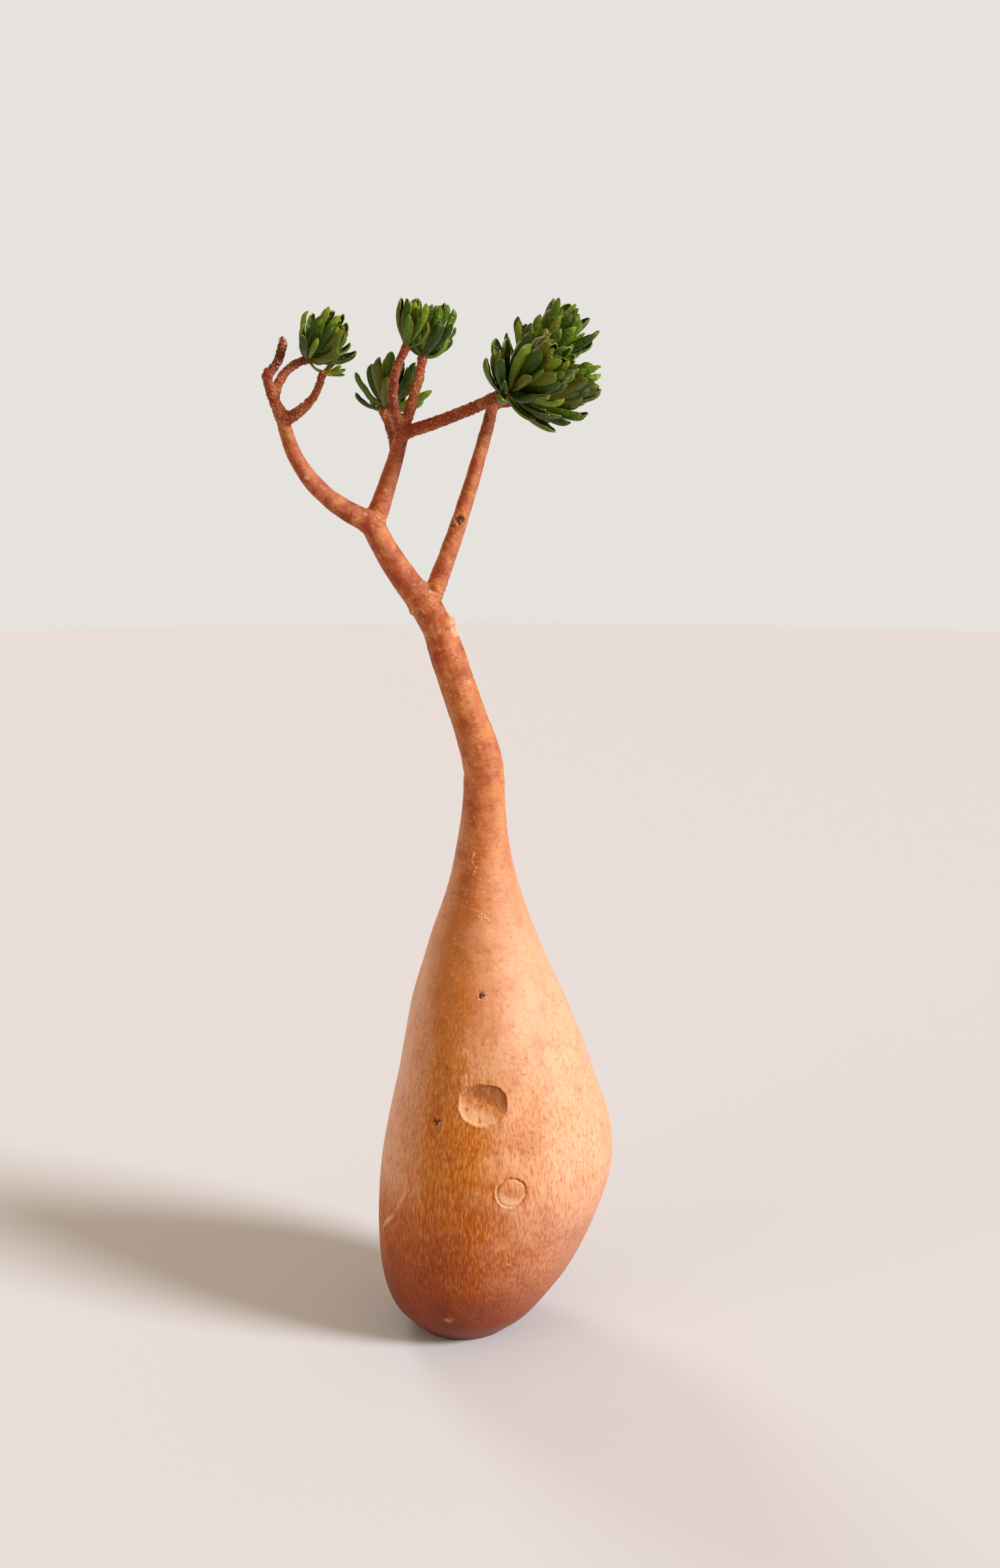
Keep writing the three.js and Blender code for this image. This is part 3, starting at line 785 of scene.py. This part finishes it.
def grown_limbs(places, shoots):
    """All stems above the waist, fused by a fine remesh, smoothed and given their bark's relief."""
    walks = {"trunk": walk(trunk_place, neck_share())}
    stub_foot = np.array(STUB["at"], float)
    stub_end = stub_foot + np.array(STUB["reach"]) * HEALED_REACH
    walks["stub"] = walk(shoot_place(stub_foot, stub_end, STUB["foot"] / 2, STUB["tip"] / 2))
    for name, *_ in LIMBS:
        walks[name] = walk(places[name])
    for name, grown in shoots.items():
        for number, (_, _, stem, leafy) in enumerate(grown):
            middle, facing, radius = stem(0)
            sunk = (middle - facing * SUNK, facing, radius, 0.0)
            walks[f"{name}_{number}"] = [sunk] + walk(stem) + walk(leafy)[1:]
    tubes = []
    samples = []
    for kind, (name, steps) in enumerate(walks.items()):
        plain = name in ("trunk", "stub")
        end = steps[-1][3]
        if name == TORN:
            steps = [(middle, facing, radius * lerp(0.8, 1, smoothstep(end - along, 0, 14)), along)
                     for middle, facing, radius, along in steps]
        if name == HEALED:
            steps = [(middle, facing, radius * round_end(end - along), along)
                     for middle, facing, radius, along in steps]
        tubes.append(tube(name, [
            (middle, radius * (1 if plain else collar(along))) for middle, _, radius, along in steps]))
        samples += [(middle, facing, radius, along, kind, name) for middle, facing, radius, along in steps]
    piece = join(tubes, "neck_and_limbs")
    finish_modifier(piece, "REMESH", mode="VOXEL", voxel_size=VOXEL * MM)
    finish_modifier(piece, "SMOOTH", **SMOOTHING)

    tree = kdtree.KDTree(len(samples))
    for i, sample in enumerate(samples):
        tree.insert(Vector(sample[0]), i)
    tree.balance()
    spots = spots_of(piece) / MM
    grain = np.empty_like(spots)
    heights = np.empty(len(spots))
    dry = np.zeros(len(spots))
    tones = np.empty(len(spots))
    young = np.empty(len(spots))
    for i, spot in enumerate(spots):
        near = min(tree.find_n(Vector(spot), 6), key=lambda found: found[2] - samples[found[1]][2])
        middle, facing, radius, along, kind, name = samples[near[1]]
        away = spot - middle
        along += np.dot(away, facing)
        side = unit(BACK - facing * facing[1])
        around = math.atan2(np.dot(away, np.cross(side, facing)), np.dot(away, side))
        heights[i], tones[i] = limb_relief(name, kind, along, around, radius, spot, walks[name][-1][3])
        young[i] = twiginess(radius)
        if name == TORN:
            dry[i] = smoothstep(along, 4, 26)
        grain[i] = (radius * math.cos(around), radius * math.sin(around), along + STEM_SHIFT * kind)
    heights *= [smoothstep(z, WAIST - 4, WAIST + 40) for z in spots[:, 2]]
    crease = np.array([waist_crease(z) for z in spots[:, 2]])
    heights -= CREASE["deep"] * crease
    # Painted shade in the crease round the waist, on the neck too.
    tones -= CREASE["dark"] * crease
    for kept, values in (("marks", tones), ("young", young), ("dry", dry)):
        keep_values(piece, kept, values)
    bark = piece.data.attributes.new("grain", "FLOAT_VECTOR", "POINT")
    bark.data.foreach_set("vector", (grain * MM).astype(np.float32).ravel())
    move_to(piece, (spots + normals_of(piece) * heights[:, None]) * MM)
    # Painted sunlight and sheen on the neck and limbs too.
    keep_painted_sunlight_and_sheen(piece)
    shade_smooth(piece)
    return piece


# Leaves: one blade is modelled flat, then laid along each leaf's curl

# Stations along the blade, closer together towards its tip.
STATIONS = 14
# Places of the blade's lengthwise edges from margin to margin, with a narrow rib in the middle.
RIB_HALF = 0.055
EDGES = (-1, -0.82, -0.45, -RIB_HALF, RIB_HALF, 0.45, 0.82, 1)
# Shares of its length where a leaf's foot ends, and where its tip starts to bend in and its edge to pale.
FOOT_END = 0.12
HOOD_FROM = 0.8
PALE_FROM = 0.82
# The share of its length at which a leaf's end is cut square, which rounds its tip.
BLUNT_END = 0.992
# Ranges of each leaf's own shape: the angles of its rolled channel, its twist and its hood, how high and
# how many its waves are, and how broad a long leaf is.
OWN_SHAPE = {"channel": (76, 124), "twist": (-36, 36), "waves": (0.02, 0.1), "bends": (1.6, 3.4),
             "hood": (20, 85), "broad": (1.15, 1.5)}
# Quilted swells between the veins, from a leaf's foot to its tip.
QUILTS = 7.5
# Where a leaf's finishes start among its materials: three greens above, four below, then one of each.
UPPER, UNDER, MARGIN, RIB, FOOT, YELLOW = 0, 3, 7, 8, 9, 10
# Leaves shorter than this, in millimetres, have a yellow foot up to this share of their length.
SHORT_LEAF = 48
YELLOW_END = 0.36


def flat_blade(materials):
    """A closed blade: 1 long, from -1 to 1 across and through, whose faces know their finish."""
    deselect()
    bpy.ops.mesh.primitive_grid_add(
        x_subdivisions=STATIONS, y_subdivisions=len(EDGES) - 1, size=2, location=(0, 0, 0))
    piece = bpy.context.object
    piece.name = piece.data.name = "blade"
    for vertex in piece.data.vertices:
        edge = round((vertex.co.y + 1) / 2 * (len(EDGES) - 1))
        share = (vertex.co.x + 1) / 2
        vertex.co = (math.sin(share * math.pi / 2), EDGES[edge], 0)
    finish_modifier(piece, "SOLIDIFY", thickness=2, offset=0)
    for material in materials:
        piece.data.materials.append(material)
    for face in piece.data.polygons:
        above, across = face.center.z, abs(face.center.y)
        if abs(above) < 0.5:
            face.material_index = MARGIN if face.center.x > PALE_FROM else UNDER
        elif face.center.x < FOOT_END:
            face.material_index = FOOT
        elif above > 0 and across < RIB_HALF:
            face.material_index = RIB
        else:
            face.material_index = UPPER if above > 0 else UNDER
    return piece


def leaf_thickness(s, v, above):
    """Half the thickness of a blade in millimetres: a thick foot, a keel under the rib, fine quilting."""
    thick = lerp(1.6, 1.0, v * v) + 1.6 * (1 - smoothstep(s, 0.0, 0.3))
    if above < 0:
        thick += 0.9 * ridge(v, 0, 0.22) * (1 - 0.9 * s)
    quilt = math.sin(2 * math.pi * (QUILTS * s - 0.9 * abs(v)))
    return thick + quilt * math.sin(math.pi * min(1, abs(v))) * smoothstep(s, 0.15, 0.35)


def leaf_course(leaf, hood):
    """The leaf's midline at each station: its arc, then a hood that bends the tip in by a further angle."""
    course = []
    spot, normal = midline(leaf, 0)
    last = 0.0
    for i in range(STATIONS + 1):
        s = math.sin(i / STATIONS * math.pi / 2)
        turn = leaf["curl"] * s + hood * smoothstep(s, HOOD_FROM, 1.1)
        ahead = leaf["out"] * math.cos(turn) + leaf["inward"] * math.sin(turn)
        spot = spot + ahead * (leaf["length"] * (s - last))
        normal = leaf["inward"] * math.cos(turn) - leaf["out"] * math.sin(turn)
        course.append((spot, normal))
        last = s
    return course


def leaf_copy(blade, leaf, roll):
    """A copy of the blade, laid along one leaf's midline, with its own channel, twist, waves and hood."""
    piece = bpy.data.objects.new("leaf", blade.data.copy())
    bpy.context.scene.collection.objects.link(piece)
    channel = math.radians(roll(*OWN_SHAPE["channel"]))
    twist = math.radians(roll(*OWN_SHAPE["twist"]))
    waves, phase, bends = roll(*OWN_SHAPE["waves"]), roll(0, 2 * math.pi), roll(*OWN_SHAPE["bends"])
    course = leaf_course(leaf, math.radians(roll(*OWN_SHAPE["hood"])))
    plump = lerp(0.9, roll(*OWN_SHAPE["broad"]), smoothstep(leaf["length"], 76, 106))
    tint = min(3, int(roll(0, 4)))
    across = np.cross(leaf["inward"], leaf["out"])
    for vertex in piece.data.vertices:
        s, v, above = vertex.co
        wide = half_width(leaf["length"], min(s, BLUNT_END)) * plump
        spot, normal = course[round(math.asin(min(1, s)) * 2 / math.pi * STATIONS)]
        # The blade is rolled into a channel: the angle grows from the rib to the margin.
        angle = v * channel * lerp(0.85, 1.0, s) * (1 - 0.2 * smoothstep(s, 0.8, 1.0))
        bend = wide / channel
        side = bend * math.sin(angle)
        wave = waves * v * v * math.sin(bends * 2 * math.pi * s + phase + v)
        rise = bend * (1 - math.cos(angle)) + wide * wave
        thick = leaf_thickness(s, v, above) * above
        side -= math.sin(angle) * thick
        rise += math.cos(angle) * thick
        turn = twist * s
        vertex.co = (spot + across * (side * math.cos(turn) - rise * math.sin(turn))
                     + normal * (side * math.sin(turn) + rise * math.cos(turn))) * MM
    for face, plain in zip(piece.data.polygons, blade.data.polygons):
        if leaf["length"] < SHORT_LEAF and plain.center.x < YELLOW_END:
            face.material_index = YELLOW
        elif face.material_index == UPPER:
            face.material_index += tint % 3
        elif face.material_index == UNDER:
            face.material_index += tint
    return piece


def foliage(name, blade, leaves, seed):
    """The leaves of one shoot as one mesh, each with its own shape and one of the greens."""
    roll = dice(seed)
    piece = join([leaf_copy(blade, leaf, roll) for leaf in leaves], name)
    finish_modifier(piece, "SUBSURF", levels=1, render_levels=1)
    face_outwards(piece)
    shade_smooth(piece)
    return piece


# Materials. A pattern's scale is how many of its grains go to a metre, from their real size.

# One colour over another, and one that darkens another as a stain does.
OVER = {"data_type": "RGBA"}
STAIN = {"data_type": "RGBA", "blend_type": "MULTIPLY"}


def colour(code):
    """An sRGB hex value as linear colour."""
    parts = [int(code[i:i + 2], 16) / 255 for i in (1, 3, 5)]
    return (*(c / 12.92 if c <= 0.04045 else ((c + 0.055) / 1.055) ** 2.4 for c in parts), 1)


def feed(fed, inputs):
    """Gives a node's sockets their values, or links them to the nodes or outputs that feed them."""
    for socket, value in inputs.items():
        if isinstance(value, bpy.types.Node):
            value = next(output for output in value.outputs if output.enabled)
        if isinstance(value, bpy.types.NodeSocket):
            fed.id_data.links.new(value, fed.inputs[socket])
        else:
            fed.inputs[socket].default_value = value


def node(tree, kind, inputs=None, stops=(), **settings):
    """Adds a node with its settings, what its sockets are fed and, on a ramp, its stops."""
    made = tree.nodes.new("ShaderNode" + kind)
    for name, value in settings.items():
        setattr(made, name, value)
    feed(made, inputs or {})
    if stops:
        elements = made.color_ramp.elements
        while len(elements) < len(stops):
            elements.new(0.5)
        for element, (place, shade) in zip(elements, stops):
            element.position = place
            element.color = colour(shade)
    return made


def new_material(name):
    material = bpy.data.materials.new(name)
    material.use_nodes = True
    tree = material.node_tree
    return material, tree, tree.nodes["Principled BSDF"]


def laid_over(tree, base, shade, pattern, spread, *within):
    """A colour with another over it: none of it where a pattern is at the first number of spread, and the
    third number's share of it where the pattern is at the second, times each share in within."""
    start, full, most = spread
    share = node(tree, "MapRange", {"Value": pattern, "From Min": start, "From Max": full, "To Max": most})
    for limit in within:
        share = node(tree, "Math", {0: share, 1: limit}, operation="MULTIPLY")
    return node(tree, "Mix", {0: share, 6: base, 7: colour(shade)}, **OVER)


def stained(tree, base, pattern, stops, share):
    """A colour with a share of the stain that a pattern picks from a ramp."""
    stain = node(tree, "ValToRGB", {0: pattern}, stops)
    return node(tree, "Mix", {0: share, 6: base, 7: stain}, **STAIN)


def grains(tree, place, scale, detail, roughness, distortion=0.0):
    """A pattern of grains that are longer one way than another."""
    stretched = node(tree, "Mapping", {"Vector": place, "Scale": scale})
    return node(tree, "TexNoise", {"Vector": stretched, "Scale": 1.0, "Detail": detail,
                                   "Roughness": roughness, "Distortion": distortion})


def wobbly(tree, place, scale, detail, reach):
    """A place moved to and fro by up to a reach in metres, so that a pattern on it isn't straight."""
    wobble = node(tree, "TexNoise", {"Vector": place, "Scale": scale, "Detail": detail})
    return node(tree, "VectorMath", {0: wobble.outputs["Color"], 1: reach, 2: place},
                operation="MULTIPLY_ADD")


def painted_sunlight_and_sheen(tree, base):
    """A bark's colour, paler with painted sunlight where it faces the key light, and with a painted
    sheen on the left flank over its old skin.
    """
    paleness = node(tree, "Attribute", attribute_name="painted_sunlight_and_sheen").outputs["Fac"]
    # The pale colour of the painted sunlight and sheen.
    return laid_over(tree, base, "#F0CEBC", paleness, (0.0, 1.0, 0.66))


def golden_patches(tree, place, base, amount):
    """A bark's colour with darker and golden patches about 30 mm wide, and golden speckles of 4 mm in the
    paler ones. Also gives how pale the patches are."""
    patch = node(tree, "TexNoise", {"Vector": place, "Scale": 30.0, "Detail": 8.0, "Roughness": 0.68})
    deep = node(tree, "Math", {0: amount, 1: 0.6}, operation="MULTIPLY")
    patchy = stained(tree, base, patch, [(0.34, "#B08264"), (0.45, "#F0E2D8"), (0.56, "#FFFFFF")], deep)
    golden = laid_over(tree, patchy, "#D8A066", patch, (0.5, 0.66, 0.4), amount)
    speckle = node(tree, "TexNoise", {"Vector": place, "Scale": 250.0, "Detail": 3.0})
    paler = node(tree, "MapRange", {"Value": patch, "From Min": 0.42, "From Max": 0.58})
    return laid_over(tree, golden, "#CF9550", speckle, (0.52, 0.64, 0.7), paler, amount), patch


def waxy_finish(shader, base, relief, strength, patches, smoothest, roughest):
    """A bark's dark and pale old marks, with the painted shade and highlight kept among them, its fine
    relief, a roughness that differs between its patches, and a bloom of wax, which pales it where it is
    seen or lit from aslant and dulls its gloss."""
    tree = shader.id_data
    tone = node(tree, "Attribute", attribute_name="marks").outputs["Fac"]
    # The tone darkens and pales the bark: its marks, and the painted shade and highlight at the scars and
    # the crease.
    darker = laid_over(tree, base, "#582C12", tone, (-0.15, -1.0, 1.0))
    feed(shader, {
        "Base Color": laid_over(tree, darker, "#E8C5A2", tone, (0.1, 1.5, 1.0)),
        "Normal": node(tree, "Bump", {"Height": relief, "Strength": strength, "Distance": 0.0014}),
        "Roughness": node(tree, "MapRange", {"Value": patches, "To Min": smoothest, "To Max": roughest}),
        "Specular IOR Level": 0.2, "Sheen Weight": 0.06, "Sheen Roughness": 0.4,
        "Sheen Tint": colour("#FFE4D0"),
    })


def trunk_bark():
    """Living bark of a water-storing stem, waxy and stretched thin as it swelled. To the eye it is satin
    and golden tan, darker and deeper orange at the foot, partly its own colour and partly painted shade,
    with upright dashes low down, pale flakes and short dark cracks further up, and the limbs' rings and
    patches on the neck."""
    material, tree, shader = new_material("stretched_satin_bark")
    place = node(tree, "TexCoord").outputs["Object"]
    # The height in metres at which a marking starts or ends drifts by up to 0.15 from place to place.
    cloud = node(tree, "TexNoise", {"Vector": place, "Scale": 5.0, "Detail": 5.0})
    drift = node(tree, "Math", {0: cloud, 1: 0.3, 2: -0.15}, operation="MULTIPLY_ADD")
    height = node(tree, "SeparateXYZ", {0: place}).outputs["Z"]
    level = node(tree, "Math", {0: height, 1: drift}, operation="ADD")
    lower, foot, high, upper, neck = [
        node(tree, "MapRange", {"Value": level, "From Min": start, "From Max": full, "To Max": most})
        for start, full, most in (
            (0.9, 0.5, 0.64), (0.08, 0.4, 0.75), (0.4, 0.6, 1.0), (0.62, 1.0, 0.55), (0.72, 1.08, 1.0))]
    share = node(tree, "MapRange", {"Value": level, "From Min": 0.0, "From Max": 1.25})
    # The ramp darkens towards the foot: a deeper orange of the bark's own, and painted shade.
    base = node(tree, "ValToRGB", {0: share}, [
        (0.0, "#682400"), (0.1, "#923E00"), (0.22, "#B45C04"), (0.34, "#C67616"), (0.5, "#C07A32"),
        (0.66, "#BF793F"), (0.84, "#BC703E"), (0.95, "#B9683A")])
    # Dashes 4 mm wide and 22 mm long, tan ones between pale wisps.
    warped = wobbly(tree, place, 45.0, 2.0, (0.006, 0.006, 0.0))
    dash = grains(tree, warped, (270.0, 270.0, 46.0), 1.5, 0.5)
    # Under the dashes, the colour takes the painted sunlight and sheen.
    dashed = stained(tree, painted_sunlight_and_sheen(tree, base), dash, [
        (0.34, "#DEAC70"), (0.5, "#FFFFFF"), (1.0, "#FFFFFF")], lower)
    low = node(tree, "Math", {0: lower, 1: foot}, operation="MINIMUM")
    wispy = laid_over(tree, dashed, "#E8B87C", dash, (0.5, 0.66, 0.6), low)
    # Rings 3 mm high, and blotches 45 mm wide.
    ring = grains(tree, place, (42.0, 42.0, 340.0), 3.0, 0.6, 0.6)
    ringed = stained(tree, wispy, ring, [(0.3, "#E6C2A6"), (0.44, "#FAF2EC"), (0.55, "#FFFFFF")], upper)
    mottle = node(tree, "TexNoise", {"Vector": place, "Scale": 22.0, "Detail": 7.0, "Roughness": 0.6})
    blotched = stained(tree, ringed, mottle, [
        (0.34, "#C4926A"), (0.48, "#F6E8DA"), (0.62, "#FFFFFF")], 0.32)
    patchy, _ = golden_patches(tree, place, blotched, neck)
    # Cracks and flakes, the tops of grains 11 by 7 mm and 9 by 5 mm.
    crack = grains(tree, warped, (90.0, 90.0, 150.0), 5.0, 0.62)
    cracked = laid_over(tree, patchy, "#84502C", crack, (0.6, 0.68, 0.5))
    flake = grains(tree, warped, (110.0, 110.0, 210.0), 4.0, 0.6)
    flaked = laid_over(tree, cracked, "#F2D6BC", flake, (0.6, 0.7, 0.36), high)
    # Pores 1 mm wide, on dashes low down and on rings higher up.
    pores = node(tree, "TexNoise", {"Vector": place, "Scale": 900.0, "Detail": 3.0})
    lines = node(tree, "Mix", {0: upper, 2: dash, 3: ring})
    relief = node(tree, "Math", {0: pores, 1: 0.6, 2: lines}, operation="MULTIPLY_ADD")
    waxy_finish(shader, flaked, relief, 0.45, mottle, 0.36, 0.54)
    return material


def limb_bark():
    """Living bark of young wood, which grows in rings and keeps the scars of its fallen leaves. To the eye
    it is brick orange and satin, ringed across, with darker and golden patches and whitish flecks."""
    material, tree, shader = new_material("ringed_limb_bark")
    place = node(tree, "TexCoord").outputs["Object"]
    along, dry, young = [node(tree, "Attribute", attribute_name=name).outputs[output] for name, output in (
        ("grain", "Vector"), ("dry", "Fac"), ("young", "Fac"))]
    height = node(tree, "SeparateXYZ", {0: place}).outputs["Z"]
    share = node(tree, "MapRange", {"Value": height, "From Min": 1.17, "From Max": 1.9})
    base = node(tree, "ValToRGB", {0: share}, [
        (0.0, "#B9683A"), (0.16, "#BB6B38"), (0.34, "#B25C30"), (0.6, "#AA532D"), (1.0, "#A44E2B")])
    # Rings 3 mm high. Wood that died back is browner, with deeper rings and whitish flakes along them.
    ring = grains(tree, along, (30.0, 30.0, 290.0), 4.0, 0.65, 0.9)
    deep = node(tree, "Math", {0: dry, 1: 0.5, 2: 0.5}, operation="MULTIPLY_ADD")
    # Under the rings, the colour takes the painted sunlight and sheen.
    ringed = stained(tree, painted_sunlight_and_sheen(tree, base), ring, [
        (0.3, "#A87A60"), (0.45, "#F0E0D6"), (0.6, "#FFFFFF")], deep)
    patchy, patches = golden_patches(tree, place, ringed, 1.0)
    browner = node(tree, "Mix", {0: dry, 6: patchy, 7: colour("#A67C60")}, **STAIN)
    fleck = node(tree, "TexNoise", {"Vector": along, "Scale": 95.0, "Detail": 5.0, "Roughness": 0.7})
    flaking = node(tree, "MapRange", {"Value": ring, "From Min": 0.46, "From Max": 0.6, "To Max": 0.16})
    flakier = node(tree, "Math", {0: dry, 1: flaking, 2: fleck}, operation="MULTIPLY_ADD")
    flecked = laid_over(tree, browner, "#E2C6AE", flakier, (0.6, 0.7, 0.6))
    # Leaf scars on young twigs about 5 mm apart: their tops paler as a painted highlight, and
    #     darker bark between them as painted shade.
    warped = wobbly(tree, along, 160.0, 3.0, (0.008, 0.008, 0.008))
    scar_place = node(tree, "Mapping", {"Vector": warped, "Scale": (190.0, 190.0, 260.0)})
    scar = node(tree, "TexVoronoi", {"Vector": scar_place, "Scale": 1.0})
    painted_knob_highlight = laid_over(tree, flecked, "#DDA274", scar, (0.34, 0.1, 0.5), young)
    share_young = node(tree, "Math", {0: young, 1: 0.65}, operation="MULTIPLY")
    scars_and_painted_shade = stained(tree, painted_knob_highlight, scar, [
        (0.0, "#FFE9D2"), (0.35, "#FFFFFF"), (0.62, "#AC7654"), (0.9, "#DCB498")], share_young)
    # Pores 1.4 mm wide, rings, and dents between the scars.
    pores = node(tree, "TexNoise", {"Vector": place, "Scale": 700.0, "Detail": 3.0})
    fine = node(tree, "Math", {0: ring, 1: pores}, operation="ADD")
    dents = node(tree, "Math", {0: scar, 1: young}, operation="MULTIPLY")
    relief = node(tree, "Math", {0: dents, 1: -4.0, 2: fine}, operation="MULTIPLY_ADD")
    waxy_finish(shader, scars_and_painted_shade, relief, 0.6, patches, 0.45, 0.66)
    return material


def leaf_finishes():
    """Living leaves, thick and leathery under a coat of wax. To the eye they are deep green and glossy
    above, darker still as painted shade inside their channels and between the leaves, paler and more
    olive below, with pale rims and ribs, and dents about 9 mm wide that break up their shine."""
    finishes = []
    for name, shade, roughness in (
        # The upper greens, on the faces inside each leaf's channel, are darkened as painted shade.
        ("leaf_upper_deep", "#163002", 0.38), ("leaf_upper_mid", "#284805", 0.4),
        ("leaf_upper_fresh", "#42680A", 0.4), ("leaf_under_deep", "#2E4A03", 0.4),
        ("leaf_under_mid", "#4C6C0B", 0.4), ("leaf_under_fresh", "#6E8A18", 0.42),
        ("leaf_under_olive", "#5C620E", 0.44), ("leaf_margin", "#98A656", 0.5),
        ("leaf_rib", "#5F7F24", 0.45), ("leaf_foot", "#67702A", 0.5),
        ("leaf_foot_yellow", "#A48C22", 0.5),
    ):
        material, tree, shader = new_material(name)
        place = node(tree, "TexCoord").outputs["Object"]
        dents = node(tree, "TexNoise", {"Vector": place, "Scale": 115.0, "Detail": 3.0})
        feed(shader, {
            "Base Color": colour(shade), "Roughness": roughness, "Specular IOR Level": 0.32,
            "Normal": node(tree, "Bump", {"Height": dents, "Strength": 1.0, "Distance": 0.0042}),
        })
        finishes.append(material)
    return finishes


# Stage: floor, lights and the photograph's view

# In metres, the floor a hair below the ground cut.
FLOOR = {"radius": 14, "height": -0.0005}
# Place in metres, degrees that it looks down, and its lens and the width of its frame in millimetres.
CAMERA = {"at": (0.078, -3.41, 1.84), "down": 11.35, "lens": 40, "sensor": 36}
# Name, place, angle of its disc in degrees, strength and colour: a broad warm key from the front right, a
# weak fill from the left and a rim from behind. All aim at the middle of the tree.
SUNS = [
    ("key", (5.2, -2.3, 4.2), 16, 3.9, "#FFF0E2"),
    ("fill", (-4.5, -3.6, 3.2), 40, 0.35, "#FFE9D6"),
    ("rim", (-2.4, 4.2, 4.4), 20, 0.7, "#FFF3E4"),
]
AIM = (0.05, 0, 1.0)


def stage():
    deselect()
    bpy.ops.mesh.primitive_circle_add(vertices=128, radius=FLOOR["radius"], fill_type="NGON",
                                      location=(0, 0, FLOOR["height"]))
    floor = bpy.context.object
    floor.name = "floor"
    material, _, shader = new_material("pale_floor")
    feed(shader, {"Base Color": colour("#D0DEF4"), "Roughness": 0.9})
    floor.data.materials.append(material)
    for name, spot, angle, power, tone in SUNS:
        bpy.ops.object.light_add(type="SUN", location=spot)
        lamp = bpy.context.object
        lamp.name = name
        lamp.data.angle = math.radians(angle)
        lamp.data.energy = power
        lamp.data.color = colour(tone)[:3]
        lamp.rotation_euler = (Vector(AIM) - Vector(spot)).to_track_quat("-Z", "Y").to_euler()
    # The world lights the tree with a warm glow, and shows the camera a plain pale backdrop.
    world = bpy.data.worlds.new("studio")
    world.use_nodes = True
    seen = node(world.node_tree, "LightPath").outputs["Is Camera Ray"]
    glow = node(world.node_tree, "Mix", {0: seen, 6: colour("#BA9872"), 7: colour("#E6E3DF")}, **OVER)
    feed(world.node_tree.nodes["Background"], {"Color": glow})
    bpy.context.scene.world = world
    bpy.context.scene.view_settings.view_transform = "Standard"
    bpy.ops.object.camera_add(location=CAMERA["at"], rotation=(math.radians(90 - CAMERA["down"]), 0, 0))
    camera = bpy.context.object
    camera.data.lens = CAMERA["lens"]
    camera.data.sensor_width = CAMERA["sensor"]
    camera.data.clip_end = 60
    bpy.context.scene.camera = camera


def dress(piece, materials, nodes):
    """Gives a piece its materials, its body and the nodes of the CAD that it replaces."""
    for material in materials:
        piece.data.materials.append(material)
    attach(piece, "root")
    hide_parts(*nodes)


stage()
places, shoots, leaves = grow_tree()
body = swollen_trunk()
dress(body, [trunk_bark()], ["trunk"])
limbs = grown_limbs(places, shoots)
dress(limbs, [limb_bark()], ["trunk"] + [limb[0] for limb in LIMBS])
finishes = leaf_finishes()
blade = flat_blade(finishes)
for name, _, seed, _ in MASSES:
    for number, grown in enumerate(leaves[name], 1):
        dress(foliage(f"{name}_{number}", blade, grown, seed + number), [], [name])
bpy.data.objects.remove(blade)
